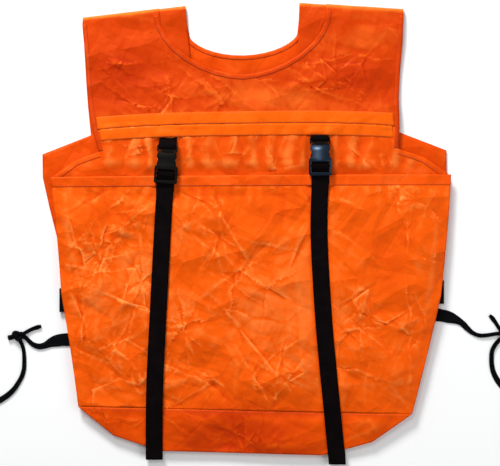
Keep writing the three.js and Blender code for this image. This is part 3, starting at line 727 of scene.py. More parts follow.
# %% Build the ties
def build_tie(side):
    route = TIE_ROUTES[side]
    x, y, z = route["knot"]
    through = [(x + 4.5, y - 0.5, z - 0.4), (x, y - 2.5, z), (x + 1.2, y - 6, z - 0.5)]
    if side == "right":
        through = [(x - 5, y, z - 0.4), (x - 1.5, y - 1.5, z), (x - 3, y - 4.5, z - 0.5)]
    tie, tie_line = tie_piece(
        f"{side}_tie", route["tape"] + through + route["tail"],
        [(0, 0.019), (0.07, 0.018), (0.18, 0.009), (0.28, 0.0062), (0.4, 0.0056),
         (0.62, 0.0068), (0.78, 0.0085), (0.88, 0.012), (1, 0.017)], 2, 1.3,
    )
    knot = knot_piece(f"{side}_knot", route)
    short_end, _ = tie_piece(
        f"{side}_short_end", route["short_end"],
        [(0, 0.0052), (0.5, 0.0056), (0.8, 0.0066), (1, 0.0048)], 2, 9.7,
    )
    stub, _ = tie_piece(
        f"{side}_stub", route["stub"], [(0, 0.0055), (0.6, 0.0072), (1, 0.0076)], 1, 3.3,
    )
    for piece in (tie, knot, short_end, stub):
        attach(piece)
    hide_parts(f"{side}_tie_tape", f"{side}_tie_tail")
    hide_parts(f"{side}_tie_knot")
    tuple(tie_line[0])
    line_length(tie_line)
    [tuple(p) for p in tie_line]
    print(side, "tie:", round(line_length(tie_line), 3), "m")


for side_name in SIDES:
    build_tie(side_name)


# %% [markdown]
# ## What the straps press down
# The buckles and the tight straps hold the cloth down. Pushing the cloth aside afterwards would
# leave dents with hard rims, so the places of straps and buckles are set first and each sheet
# stays below a limit: it is lowest right under a strap and rises beside it.

# %% Strap and buckle places
WEB_WIDTH = 0.025
WEB_THICKNESS = 0.0014
BUCKLES = {
    "left": {"place": (-0.1175, 0.1005), "turn": -3.5},
    "right": {"place": (0.1079, 0.1122), "turn": 0.8},
}
STRAP_LINES = {
    "left": [(-0.1235, 0.0), (-0.1315, -0.154), (-0.135, -0.235), (-0.136, -0.333)],
    "right": [(0.1062, 0.0), (0.1116, -0.107), (0.1185, -0.190), (0.1335, -0.340)],
}
STRAP_LEVELS = [
    (0.065, 0.0175), (0.02, 0.0176), (-0.10, 0.0180), (-0.20, 0.0178), (-0.250, 0.0172),
    (-0.270, 0.0160), (-0.300, 0.0124), (-0.320, 0.0104), (-0.345, 0.0096),
]
BUCKLE_Z = (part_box("left_socket_half")[0].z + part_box("left_socket_half")[1].z) / 2
TAIL_BOTTOM = 0.0150
HEM_RISE = 0.0024
LIES_BELOW = 0.06


def from_buckle(side, x, y, z):
    """A point given in the buckle's own millimetres, in the vest's frame."""
    turn = math.radians(BUCKLES[side]["turn"])
    cx, cy = BUCKLES[side]["place"]
    return Vector((
        cx + (x * math.cos(turn) - y * math.sin(turn)) * MM,
        cy + (x * math.sin(turn) + y * math.cos(turn)) * MM,
        BUCKLE_Z + z * MM,
    ))


def along(table, y):
    """The value of a table of (y, value), from high y to low y, at any y."""
    if y >= table[0][0]:
        return table[0][1]
    for (y0, v0), (y1, v1) in zip(table, table[1:]):
        if y >= y1:
            return mix(v0, v1, (y - y0) / (y1 - y0))
    return table[-1][1]


def strap_level(side, y):
    flutter = 0.0004 * ripple(y * 24, SIDES[side] * 4.0, 0)
    return along(STRAP_LEVELS, y) + flutter * ease((LIES_BELOW - y) / 0.05)


strap_middles = {}
for side_name in SIDES:
    entry = from_buckle(side_name, 0, -30, 0)
    middles = smooth_line(
        [(entry.x, entry.y, 0)] + [(x, y, 0) for x, y in STRAP_LINES[side_name]], 0.004,
    )
    strap_middles[side_name] = [(point.y, point.x) for point in middles]

print("points of the straps:", {side: len(strap_middles[side]) for side in SIDES})


# %% How high the cloth may reach
def pressed(x, y, extra=0.0):
    """The height that cloth may reach here, below the straps and buckles."""
    limit = 1.0
    for side, facts in BUCKLES.items():
        if y < LIES_BELOW:
            away = max(0.0, abs(x - along(strap_middles[side], y)) - WEB_WIDTH / 2 - 0.001)
            limit = min(limit, strap_level(side, y) - WEB_THICKNESS + 0.22 * away)
        turn = math.radians(-facts["turn"])
        dx, dy = x - facts["place"][0], y - facts["place"][1]
        u = dx * math.cos(turn) - dy * math.sin(turn)
        v = dx * math.sin(turn) + dy * math.cos(turn)
        outside = math.hypot(max(0.0, abs(u) - 0.019), max(0.0, -0.048 - v, v - 0.032))
        limit = min(limit, TAIL_BOTTOM - HEM_RISE + 0.35 * outside)
    return limit - extra


SETTLE = 0.0030


def settled(z, limit):
    """The lower of two heights, with a soft change from one to the other."""
    overlap = max(0.0, SETTLE - abs(z - limit))
    return min(z, limit) - overlap ** 2 / (4 * SETTLE)


print("right under the left buckle:", round(pressed(*BUCKLES["left"]["place"]), 4), "m")


# %% [markdown]
# ## Crumpled cloth
# Cloth that was folded small keeps hard creases: flat facets that meet in sharp ridges, many of
# them meeting in one point like a star. Cloth simulation suits padded and draped pieces; here
# the creases are the shape, so each sheet is a triangulation of its own outline, with random
# corners and a few long ridges drawn in. The corners are lifted or sunk, the triangles are
# divided finely while they stay flat, and the whole is laid over what is below it. First come
# the outlines, which are read from the CAD model's flat sheets, and helpers to measure them.

# %% Outlines from the CAD model
def sides_of(points):
    return zip(points, points[1:] + points[:1])


def area_of(points):
    """Positive when the points go round to the left."""
    return sum(x0 * y1 - x1 * y0 for (x0, y0), (x1, y1) in sides_of(points)) / 2


def limits_of(points):
    xs, ys = zip(*points)
    return min(xs), max(xs), min(ys), max(ys)


def outline_of(node):
    """The edge of a flat CAD sheet, seen from above, as points in order."""
    bm = bmesh.new()
    bm.from_mesh(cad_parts[node].data)
    bmesh.ops.remove_doubles(bm, verts=bm.verts, dist=1e-5)
    bm.normal_update()
    under = [face for face in bm.faces if face.normal.z < 0.5]
    bmesh.ops.delete(bm, geom=under, context="FACES_ONLY")
    links = {}
    for edge in bm.edges:
        if len(edge.link_faces) == 1:
            for vertex in edge.verts:
                links.setdefault(vertex, []).append(edge.other_vert(vertex))
    start = next(iter(links))
    loop = [start]
    previous = None
    while True:
        onward = [vertex for vertex in links[loop[-1]] if vertex is not previous]
        previous = loop[-1]
        if onward[0] is start or len(loop) > len(links):
            break
        loop.append(onward[0])
    points = [(vertex.co.x, vertex.co.y) for vertex in loop]
    bm.free()
    return points if area_of(points) > 0 else points[::-1]


def refine(points, step, closed=True):
    result = []
    for (x0, y0), (x1, y1) in sides_of(points) if closed else zip(points, points[1:]):
        count = max(1, round(math.hypot(x1 - x0, y1 - y0) / step))
        result += [(mix(x0, x1, k / count), mix(y0, y1, k / count)) for k in range(count)]
    return result if closed else result + [points[-1]]


def inside(points, x, y):
    result = False
    for (x0, y0), (x1, y1) in sides_of(points):
        if (y0 > y) != (y1 > y) and x < (x1 - x0) * (y - y0) / (y1 - y0) + x0:
            result = not result
    return result


def edge_distance(points, x, y):
    best = 1.0
    for (x0, y0), (x1, y1) in sides_of(points):
        dx, dy = x1 - x0, y1 - y0
        t = ((x - x0) * dx + (y - y0) * dy) / (dx * dx + dy * dy + 1e-12)
        t = min(1.0, max(0.0, t))
        best = min(best, math.hypot(x - x0 - t * dx, y - y0 - t * dy))
    return best


print("outline of the pouch:", len(outline_of("pouch_front")), "points")

# %% [markdown]
# ## Facets that run through all layers
# The vest was folded as one packet, so its larger facets go across the seams. They are a height
# over the whole vest, in three sizes: corners at random places, each lifted or sunk, and flat
# triangles between them. Every sheet adds the same heights to its own.

# %% Facets
FIELD_REACH = 0.42


def height_in(tree, x, y):
    """Where a line straight down first meets a surface, or None."""
    hit = tree.ray_cast(Vector((x, y, 1.0)), Vector((0, 0, -1)))[0]
    return hit.z if hit else None


def facet_field(seed, spacing, lift):
    """A height over the whole vest made of flat facets: returns a function of x and y."""
    rng = random.Random(seed)
    points = []
    cells = {}
    for _ in range(int(2.2 * (2 * FIELD_REACH / spacing) ** 2)):
        x, y = (rng.uniform(-FIELD_REACH, FIELD_REACH) for _ in "xy")
        key = (int(x // spacing), int(y // spacing))
        near = (cells.get((key[0] + i, key[1] + j)) for i in (-1, 0, 1) for j in (-1, 0, 1))
        if any(p and math.hypot(p[0] - x, p[1] - y) < spacing * 0.75 for p in near):
            continue
        cells[key] = (x, y)
        points.append(Vector((x, y)))
    verts, _, faces, _, _, _ = geometry.delaunay_2d_cdt(points, [], [], 0, 1e-7)
    heights = [rng.uniform(-lift, lift) for _ in verts]
    tree = BVHTree.FromPolygons(
        [(v.x, v.y, h) for v, h in zip(verts, heights)], [tuple(face) for face in faces],
    )

    print("facets", spacing, "m apart:", len(faces))
    return lambda x, y: height_in(tree, x, y) or 0.0


broad_facets = facet_field(11, 0.085, 0.0050)
middle_facets = facet_field(12, 0.040, 0.0020)
fine_facets = facet_field(13, 0.014, 0.0004)


# %% [markdown]
# ## Sharp creases
# Some creases are drawn, where a packing fold or a pull can be told apart. The others
# start in seeded random points and run out like a star, as where cloth was crushed. Each has a
# crest that comes and goes, and the cloth leans towards it from both sides.

# %% Creases
def star_creases(seed, count, outline, reach, lift):
    """Sharp creases that run out from a few points, as where cloth was crushed."""
    rng = random.Random(seed)
    left, right, low, high = limits_of(outline)
    lines = []
    while count:
        x, y = rng.uniform(left, right), rng.uniform(low, high)
        if not inside(outline, x, y):
            continue
        count -= 1
        turn = rng.uniform(0, math.tau)
        rays = rng.randint(3, 5)
        for k in range(rays):
            angle = turn + math.tau * k / rays + rng.uniform(-0.5, 0.5)
            length = reach * rng.uniform(0.25, 1.0)
            height = lift * rng.uniform(0.35, 1.0) * (1 if rng.random() < 0.68 else -0.8)
            end = (x + length * math.cos(angle), y + length * math.sin(angle))
            lines.append(((x, y), end, height))
    return lines


def drawn_creases(table):
    """Creases given one by one: each is a height in millimetres and the corners of its line."""
    lines = []
    for height, *corners in table:
        for (x0, y0), (x1, y1) in zip(corners, corners[1:]):
            lines.append(((x0 * MM, y0 * MM), (x1 * MM, y1 * MM), height * MM))
    return lines


RIDGE_WIDTH = 0.0034
TILT_REACH = 0.015


def crease_heights(points, lines):
    """What the creases add at each point: a crest that comes and goes, and leaning cloth."""
    x, y = points[:, 0], points[:, 1]
    bent = points + np.stack([
        0.0020 * np.sin(75 * y + 1.3) + 0.0010 * np.sin(190 * y + 60 * x),
        0.0020 * np.sin(68 * x + 0.4) + 0.0010 * np.sin(170 * x + 50 * y),
    ], axis=1)
    strength = 0.60 + 0.40 * np.sin(95 * x + 3 * np.sin(70 * y)) * np.sin(112 * y + 2)
    total = np.zeros(len(points))
    for k, (start, end, height) in enumerate(lines):
        a, d = np.array(start), np.array(end) - np.array(start)
        length = max(np.hypot(*d), 1e-6)
        offset = bent - a
        t = np.clip(offset @ d / length ** 2, 0, 1)
        off = offset - t[:, None] * d
        away = np.hypot(off[:, 0], off[:, 1])
        side = np.sign(offset[:, 0] * d[1] - offset[:, 1] * d[0])
        lean = 0.075 * (-1) ** k * side * away * np.exp(-away / TILT_REACH)
        total += (1 - 0.75 * t) * (height * np.exp(-away / RIDGE_WIDTH) + lean)
    return total * strength


print("a drawn crease:", drawn_creases([(1.0, (0, 0), (40, 0))]))

# %% [markdown]
# ## From outline to mesh
# A Delaunay triangulation takes the outline, the crease lines and random corners between them.
# A plain grid could not follow the creases, and its squares would show through the gloss. Long
# edges are then divided until the triangles are fine enough to carry the relief.

# %% The mesh of a sheet
BORDER_MARGIN = 0.004
FADE_WIDTH = 0.03
MOST_DIVISIONS = 6


def crease_mesh(outline, spacing, lift, seed, creases, cell):
    """The flat sheet as a bmesh whose edges follow the creases, with z as the crumple height."""
    rng = random.Random(seed)
    border = refine(outline, spacing * 0.7)
    points = list(border)
    heights = [0.0] * len(border)
    edges = [(k, (k + 1) % len(border)) for k in range(len(border))]
    for start, end, _ in creases:
        line = refine([start, end], spacing * 0.8, closed=False)
        kept = [
            inside(outline, *p) and edge_distance(outline, *p) > BORDER_MARGIN for p in line
        ]
        for k, point in enumerate(line):
            if not kept[k]:
                continue
            if k and kept[k - 1]:
                edges.append((len(points) - 1, len(points)))
            points.append(point)
            heights.append(rng.uniform(-lift, lift) * 0.6)
    left, right, low, high = limits_of(outline)
    for _ in range(int(2.0 * (right - left) * (high - low) / spacing ** 2)):
        x, y = rng.uniform(left, right), rng.uniform(low, high)
        gap = spacing * (0.62 + 0.75 * (0.5 + 0.5 * ripple(x * 11, y * 11, seed)))
        if not inside(outline, x, y) or edge_distance(outline, x, y) < spacing * 0.35:
            continue
        if any(abs(px - x) < gap and math.hypot(px - x, py - y) < gap for px, py in points):
            continue
        points.append((x, y))
        fade = ease(edge_distance(outline, x, y) / FADE_WIDTH)
        heights.append(rng.uniform(-lift, lift) * mix(0.25, 1.0, fade))
    verts, pairs, faces, origins, _, _ = geometry.delaunay_2d_cdt(
        [Vector(p) for p in points], edges, [], 1, 1e-6,
    )
    known = []
    for sources in origins:
        mine = [heights[s] for s in sources]
        known.append(sum(mine) / len(mine) if mine else None)
    near = {k: [] for k in range(len(verts))}
    for a, b in pairs:
        near[a].append(known[b])
        near[b].append(known[a])
    bm = bmesh.new()
    made = []
    for k, vertex in enumerate(verts):
        height = known[k]
        if height is None:
            around = [value for value in near[k] if value is not None]
            height = sum(around) / len(around) if around else 0.0
        made.append(bm.verts.new((vertex.x, vertex.y, height)))
    for face in faces:
        if len(set(face)) == 3:
            bm.faces.new([made[k] for k in face])
    for _ in range(MOST_DIVISIONS):
        long_edges = [edge for edge in bm.edges if edge.calc_length() > cell]
        if not long_edges:
            break
        bmesh.ops.subdivide_edges(bm, edges=long_edges, cuts=1, use_grid_fill=True)
        bmesh.ops.triangulate(bm, faces=[face for face in bm.faces if len(face.verts) > 3])
    loose = [vertex for vertex in bm.verts if not vertex.link_faces]
    bmesh.ops.delete(bm, geom=loose, context="VERTS")
    bm.normal_update()
    down = [face for face in bm.faces if face.normal.z < 0]
    bmesh.ops.reverse_faces(bm, faces=down)
    if creases:
        places = np.array([(vertex.co.x, vertex.co.y) for vertex in bm.verts])
        for vertex, extra in zip(bm.verts, crease_heights(places, creases)):
            vertex.co.z += extra
    return bm


# %% [markdown]
# ## Laying a sheet
# A flat sheet is laid by a function that says where each of its points goes. Its colour then
# needs to know ridges from valleys, for its painted highlight and painted shade, so how far each
# point stands above its neighbours is kept as the `fold` value; painted shade is added to some
# listed parts of a sheet, and painted light to a few. The thickness comes last, as a modifier,
# so that the two faces stay exactly a cloth's thickness apart.

# %% Laying
THICKNESS = 0.00035


def paint_folds(bm, strength, shade):
    """Stores how far each point stands above its neighbours, less the painted shade, as `fold`."""
    layer = bm.verts.layers.float.new("fold")
    bm.normal_update()
    raw = {}
    for vertex in bm.verts:
        total = 0.0
        for edge in vertex.link_edges:
            ahead = edge.other_vert(vertex).co - vertex.co
            total -= ahead.normalized().dot(vertex.normal)
        raw[vertex] = total / max(1, len(vertex.link_edges))
    for vertex in bm.verts:
        near = [raw[edge.other_vert(vertex)] for edge in vertex.link_edges]
        value = 0.5 * raw[vertex] + 0.5 * sum(near) / max(1, len(near))
        # Painted shade: a positive value makes the colour darker here, a negative one paints light.
        painted_shade_here = shade(vertex.co.x, vertex.co.y)
        vertex[layer] = min(1.0, max(0.0, 0.5 - painted_shade_here + strength * value))


def painted_shade_patches(table):
    """Painted shade on parts of a sheet, in mm, light where the depth is negative: each has a depth, a
    middle and a reach across and along.
    """
    def shade(x, y):
        return sum(
            depth * math.exp(-((x / MM - cx) / across) ** 2 - ((y / MM - cy) / up) ** 2)
            for depth, cx, cy, across, up in table
        )
    return shade


print("cloth thickness:", THICKNESS, "m")


# %% Helpers that make a piece of cloth
def cloth_piece(
    name, bm, place, material, thickness=THICKNESS, strength=5.0, shade=painted_shade_patches([]),
):
    """Lays a crease mesh: place(x, y, crumple) gives where each point of the sheet goes."""
    flat_area = sum(face.calc_area() for face in bm.faces)
    for vertex in bm.verts:
        vertex.co = place(*vertex.co)
    paint_folds(bm, strength, shade)
    piece = object_from(bm, name, material)
    wall = piece.modifiers.new("thickness", "SOLIDIFY")
    wall.thickness = thickness
    wall.offset = -1.0
    wall.use_even_offset = False
    print(name, len(piece.data.polygons), "faces,", round(flat_area, 4), "m2")
    return piece


def surface_of(*pieces):
    """A function of x and y: the highest point of these pieces there, or None."""
    trees = [
        BVHTree.FromPolygons(
            [vertex.co for vertex in piece.data.vertices],
            [tuple(polygon.vertices) for polygon in piece.data.polygons],
        )
        for piece in pieces
    ]

    def top(x, y):
        heights = [height_in(tree, x, y) for tree in trees]
        return max((height for height in heights if height is not None), default=None)

    return top


def declare_cloth(piece, outline):
    """Attaches the sheet to the vest."""
    left, right, low, high = limits_of(outline)
    attach(piece)


def billow(x, y, size, lift, seed):
    return lift * ripple(x / size, y / size, seed)


# %% [markdown]
# ## The back panel
# The back panel lies on the table, so it is nearly flat. Only its wings and the part inside the
# neck show from above, so it needs no drawn creases: a shallow crumple on a gentle wave will do.

# %% Back panel
back_outline = outline_of("back_panel")
back_bm = crease_mesh(back_outline, 0.034, 0.0009, 21, [], 0.0062)


def place_back(x, y, crumple):
    wave = 0.0006 + 0.0007 * (1 + ripple(x * 9, y * 9, 2))
    return Vector((x, y, max(0.0005, wave + crumple * 0.8 + 0.0008)))


back_cloth = cloth_piece("back_cloth", back_bm, place_back, shaded_back_nylon)
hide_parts("back_panel")
back_top = surface_of(back_cloth)

# %% [markdown]
# ## Yoke, shoulders and neck gussets
# The front yoke goes up to the shoulder, turns round it and ends under the back panel's edge.
# The strips beside the neck are the back panel's own cloth, which comes over the shoulder and is
# sewn under the front neckline. Both are cut longer than the flat outline and wrapped round the
# shoulder line.

# %% Shoulder line
FOLD_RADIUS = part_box("left_shoulder_fold")[1].z / 2
PANEL_DROP = 0.0100


def shoulder_line(side):
    """Height of the shoulder fold at any x, from the CAD fold's two ends."""
    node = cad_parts[f"{side}_shoulder_fold"]
    low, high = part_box(f"{side}_shoulder_fold")
    ends = []
    for x in (low.x, high.x):
        near = [v.co for v in node.data.vertices if abs(v.co.x - x) < 0.012]
        ends.append(max(near, key=lambda co: co.y))
    slope = (ends[1].y - ends[0].y) / (ends[1].x - ends[0].x)
    return lambda x: ends[0].y + slope * (x - ends[0].x)


shoulder_lines = {side: shoulder_line(side) for side in SIDES}


def shoulder_at(x):
    return shoulder_lines["left" if x < 0 else "right"](x)


print("shoulder folds:", round(FOLD_RADIUS, 4), "m in radius")


# %% Cloth round the shoulder
WRAP = PANEL_DROP - FOLD_RADIUS + math.pi * FOLD_RADIUS + 0.006


def with_wrap(outline, reach):
    """The outline with its shoulder edge moved up, by the cloth that goes round the fold."""
    return [(x, y + WRAP if y > shoulder_at(x) - reach else y) for x, y in outline]


def wrapped(x, y, z, radius):
    """Bends what reaches past the shoulder line round and under it."""
    start = shoulder_at(x) - FOLD_RADIUS
    if y <= start:
        return Vector((x, y, z))
    turn = (y - start) / radius
    if turn <= math.pi:
        out = radius + (z - 2 * FOLD_RADIUS) * 0.5
        return Vector((x, start + out * math.sin(turn), FOLD_RADIUS + radius * math.cos(turn)
                       + (z - 2 * FOLD_RADIUS) * (1 - turn / math.pi)))
    return Vector((x, start - (y - start - math.pi * radius), FOLD_RADIUS - radius))


print("cloth round the fold:", round(WRAP, 4), "m")


# %% Neck gussets
for side_name, sign in SIDES.items():
    gusset_outline = with_wrap(outline_of(f"{side_name}_neck_gusset"), 0.0085)
    gusset_bm = crease_mesh(gusset_outline, 0.022, 0.0006, 31 + sign, [], 0.0038)

    def place_gusset(x, y, crumple):
        z = 2 * FOLD_RADIUS - 0.0008 - 0.0016 * ease((shoulder_at(x) - 0.012 - y) / 0.03)
        return wrapped(x, y, z + crumple, FOLD_RADIUS - 0.0004)

    gusset = cloth_piece(f"{side_name}_gusset", gusset_bm, place_gusset, shaded_yoke_nylon)
    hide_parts(f"{side_name}_neck_gusset")
    declare_cloth(gusset, gusset_outline)

# %% [markdown]
# ## The front yoke
# The yoke carries one sharp packing fold right across the chest, and long slanting folds that
# run down to the bands. They are too plain to leave to chance, so they are drawn.

# %% Front yoke
yoke_outline = with_wrap(outline_of("front_yoke"), 0.0115)
YOKE_CREASES = drawn_creases([
    (1.6, (-231, 241), (-196, 247), (-161, 251), (-130, 249)), (-1.0, (-228, 236), (-150, 244)),
    (1.5, (112, 253), (170, 258), (226, 256)), (-0.9, (120, 247), (222, 251)),
    (1.5, (-184, 201), (-158, 188), (-122, 179)), (-1.1, (-190, 196), (-130, 180)),
    (0.8, (-112, 200), (-80, 186)), (0.9, (-62, 214), (-40, 196), (-30, 181)),
    (0.9, (-20, 205), (8, 184)), (1.0, (24, 220), (44, 200), (60, 184)),
    (1.1, (76, 232), (112, 208), (152, 192)), (-0.9, (60, 222), (132, 212), (200, 216)),
    (0.7, (168, 246), (205, 300)), (0.6, (-205, 300), (-150, 278)), (0.8, (150, 214), (206, 186)),
    (0.7, (-160, 232), (-110, 214), (-66, 228)), (0.8, (92, 246), (70, 262)),
])
YOKE_CREASES += star_creases(42, 5, yoke_outline, 0.045, 0.0006)
yoke_bm = crease_mesh(yoke_outline, 0.030, 0.0010, 41, YOKE_CREASES, 0.0042)


def yoke_height(x, y):
    middle = ease((0.235 - abs(x)) / 0.12) * ease((shoulder_at(x) - y - 0.01) / 0.08)
    height = 2 * FOLD_RADIUS + 0.0022 * middle + billow(x, y, 0.07, 0.0012, 4) * middle
    return height + 0.0016 * ease((0.20 - y) / 0.03)


def place_yoke(x, y, crumple):
    calm = ease((shoulder_at(x) - y - 0.006) / 0.02)
    detail = (broad_facets(x, y) * 0.4 + middle_facets(x, y) * 0.6 + fine_facets(x, y)) * calm
    return wrapped(x, y, yoke_height(x, min(y, shoulder_at(x))) + crumple * calm + detail,
                   FOLD_RADIUS)


# Painted shade near both shoulders of the yoke, and painted light in a few other places.
yoke_painted_shade = painted_shade_patches([
    (0.34, -190, 235, 55, 40), (0.30, 175, 228, 55, 26), (-0.22, 15, 200, 90, 16),
    (-0.16, 180, 290, 40, 25), (-0.10, 90, 192, 60, 14),
])
yoke = cloth_piece("yoke", yoke_bm, place_yoke, shaded_yoke_nylon, shade=yoke_painted_shade)
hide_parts("front_yoke", "left_shoulder_fold", "right_shoulder_fold")

# %% [markdown]
# ## The front body panel
# Below the bands the cloth is gathered, so it falls in soft upright folds; behind the pouch it
# goes on, plain, as the pouch's back wall. It is cut straight but lies under the pouch's edge.

# %% Front body panel
body_outline = outline_of("front_body_panel")
BODY_CREASES = drawn_creases([
    (lift, (x0, 138), (x1, 92)) for lift, x0, x1 in (
        (0.8, -198, -208), (-0.5, -184, -180), (0.6, -160, -150), (0.8, -78, -96),
        (-0.6, -64, -60), (0.5, -46, -30), (0.8, -16, -34), (0.5, 14, 30), (-0.6, 34, 30),
        (0.8, 54, 40), (0.5, 74, 92), (0.8, 146, 166), (-0.5, 164, 160), (0.5, 182, 170),
        (0.9, 200, 214),
    )
])
BODY_CREASES += star_creases(52, 8, [
    (-0.21, 0.09), (0.21, 0.09), (0.21, 0.14), (-0.21, 0.14),
], 0.040, 0.0009)
body_bm = crease_mesh(body_outline, 0.030, 0.0008, 51, BODY_CREASES, 0.0050)


def body_height(x, y):
    open_part = ease((y - 0.086) / 0.02)
    height = 0.0072 + 0.0034 * open_part * ease((0.24 - abs(x)) / 0.05)
    gathers = 0.0009 * math.sin(x * 210 + 3 * ripple(x * 20, y * 14, 1))
    return height + gathers * open_part


def place_body(x, y, crumple):
    open_part = ease((y - 0.080) / 0.02)
    detail = middle_facets(x, y) * 0.5 + fine_facets(x, y)
    z = body_height(x, y) + mix(0.4, 1.0, open_part) * (crumple + detail)
    return Vector((x, y, settled(z, pressed(x, y, 0.003))))


body = cloth_piece("body_panel", body_bm, place_body, panel_nylon)
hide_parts("front_body_panel")

# %% [markdown]
# ## The pouch
# The pouch front is the largest face of the vest and carries the hardest creases. It is fuller
# than the body behind it, so it bulges a little in its middle and drops to the side seams.

# %% Pouch front
pouch_outline = outline_of("pouch_front")
POUCH_CREASES = drawn_creases([
    (-1.8, (-204, 62), (-240, 42), (-279, 23)), (1.9, (-186, 49), (-249, -11), (-271, -30)),
    (1.3, (-151, 35), (-183, 7), (-220, -7)), (1.2, (-153, -7), (-173, -76), (-188, -125)),
    (1.0, (-267, -46), (-208, -60), (-147, -46)), (1.5, (-200, -166), (-149, -143)),
    (1.1, (-245, -24), (-262, -8)), (1.1, (-245, -24), (-238, -48)), (0.9, (-245, -24), (-222, -30)),
    (1.1, (-210, -36), (-196, -12)), (0.9, (-210, -36), (-222, -70)),
    (1.2, (-259, -85), (-242, -124), (-240, -215)), (-0.9, (-250, -92), (-234, -160)),
    (1.7, (-90, 11), (-45, -34), (-37, -58)), (1.3, (-39, 27), (-31, -34)),
    (1.6, (-35, 23), (12, -62)), (1.3, (-112, -140), (-43, -121)), (-1.8, (-80, 52), (-52, 42)),
    (1.3, (-46, 67), (79, 65)), (1.0, (-83, 14), (-21, 56)), (1.6, (131, 51), (190, 20)),
    (-1.5, (133, -117), (180, -82), (228, -53)), (1.2, (140, -106), (190, -70)),
    (1.5, (219, 44), (238, -1), (234, -32)), (-1.0, (226, 40), (246, -4)),
    (1.3, (238, -114), (240, -170), (238, -230)), (1.2, (188, -129), (228, -141), (244, -156)),
    (1.1, (184, -154), (213, -174)), (1.3, (-10, -7), (93, -34)), (-1.2, (11, -123), (57, -133)),
    (1.3, (58, -172), (93, -152)), (1.2, (62, -218), (106, -193)),
    (-2.0, (-105, -258), (-52, -226), (-18, -252)), (1.6, (-98, -250), (-50, -216), (-8, -246)),
    (1.4, (-30, -120), (30, -186)), (1.1, (-88, -150), (-64, -212)), (1.3, (44, -244), (82, -182)),
    (1.2, (44, -244), (52, -196)), (1.0, (44, -244), (12, -214)), (1.1, (-20, -64), (-70, -98)),
    (1.2, (20, -74), (84, -112)), (1.0, (150, -10), (196, -48)), (1.1, (160, -204), (224, -222)),
    (1.2, (-226, -232), (-168, -206)), (1.0, (-196, -196), (-156, -236)),
])
POUCH_CREASES += star_creases(62, 30, pouch_outline, 0.060, 0.0010)
pouch_bm = crease_mesh(pouch_outline, 0.034, 0.0016, 61, POUCH_CREASES, 0.0040)
POUCH_TOP = max(y for _, y in pouch_outline)
POUCH_FOOT = min(y for _, y in pouch_outline)


def pouch_height(x, y):
    edge = edge_distance(pouch_outline, x, min(y, POUCH_TOP - 0.03))
    side_drop = ease(edge / 0.045)
    mouth = ease((POUCH_TOP - y) / 0.05)
    height = mix(0.0118, 0.0150, side_drop) + 0.0012 * mouth * side_drop
    return height + billow(x, y, 0.10, 0.0016, 7) * side_drop * mouth


def place_pouch(x, y, crumple):
    edge = ease(edge_distance(pouch_outline, x, y) / 0.02)
    mouth = ease((POUCH_TOP - y) / 0.03)
    pleats = 0.00022 * math.sin(x * 330 + 4 * ripple(x * 16, 0, 3))
    below_hem = ease((POUCH_TOP - 0.016 - y) / 0.004) * ease((y - POUCH_TOP + 0.06) / 0.03)
    detail = broad_facets(x, y) * 0.9 + middle_facets(x, y) + fine_facets(x, y)
    share = mix(0.35, 1.0, edge) * mix(0.25, 1.0, mouth)
    z = pouch_height(x, y) + share * (crumple + detail) + pleats * below_hem
    return Vector((x, y, max(0.0102, settled(z, pressed(x, y)))))


# Painted shade along the pouch's lower middle and in a few patches higher up, painted light on two
# broad areas.
pouch_painted_shade = painted_shade_patches([
    (0.30, -10, -262, 80, 30), (0.20, 40, 40, 60, 30), (0.18, -75, 62, 45, 18),
    (0.16, 210, -40, 35, 70), (-0.12, -170, -80, 70, 70), (-0.12, 60, -120, 80, 60),
    (0.16, -215, 30, 50, 20),
])
pouch = cloth_piece("pouch_cloth", pouch_bm, place_pouch, lit_pouch_nylon, shade=pouch_painted_shade)
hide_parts("pouch_front", "left_pouch_side", "right_pouch_side")
pouch_top = surface_of(pouch)

# %% [markdown]
# ## The pouch's floor
# The bottom gusset is the pouch's floor. Lying flat, it is folded under: it starts at the seam
# across the pouch's foot and slopes down to the lower edge. It is a sheet of its own, because
# the seam is a real step and its cloth lies more in the shade.

# %% Bottom gusset
foot_outline = outline_of("pouch_bottom_gusset")
FOOT_CREASES = drawn_creases([
    (1.2, (-70, -272), (-20, -296), (30, -312)), (1.0, (30, -312), (56, -280)),
    (1.1, (70, -300), (110, -278)), (0.9, (-210, -280), (-150, -272)), (-1.0, (-90, -300), (-60, -270)),
    (0.9, (160, -300), (210, -276)), (0.8, (-60, -320), (-20, -290)),
])
FOOT_CREASES += star_creases(72, 7, foot_outline, 0.045, 0.0008)
foot_bm = crease_mesh(foot_outline, 0.028, 0.0010, 71, FOOT_CREASES, 0.0042)


def place_foot(x, y, crumple):
    edge = edge_distance(foot_outline, x, y)
    down = ease((POUCH_FOOT + 0.002 - y) / 0.062)
    start = pouch_height(x, POUCH_FOOT + 0.001)
    calm = mix(0.3, 1.0, ease(edge / 0.014))
    detail = (broad_facets(x, y) * 0.4 + middle_facets(x, y) + fine_facets(x, y)) * calm
    z = mix(start - 0.0001, 0.0088, down) + 0.0012 * ease(edge / 0.02) + crumple * calm + detail
    return Vector((x, y, settled(z, pressed(x, y))))


# Painted shade over the middle of the pouch's floor, where its cloth hangs in shade, and a little on
# its left.
foot_painted_shade = painted_shade_patches([(0.40, -10, -295, 105, 60), (0.10, -200, -290, 40, 40)])
foot = cloth_piece("pouch_foot", foot_bm, place_foot, shaded_foot_nylon, shade=foot_painted_shade)
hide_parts("pouch_bottom_gusset")
declare_cloth(foot, foot_outline)


# %% [markdown]
# ## Hems and bands
# A hem is the sheet's own edge turned over twice and sewn down: a soft strip, a little raised
# between its edges. Raising part of the sheet itself would blur its edge, so each hem is a
# narrow sheet of its own, laid on the one below it. The chest bands are the same, wider and
# sewn along both edges.

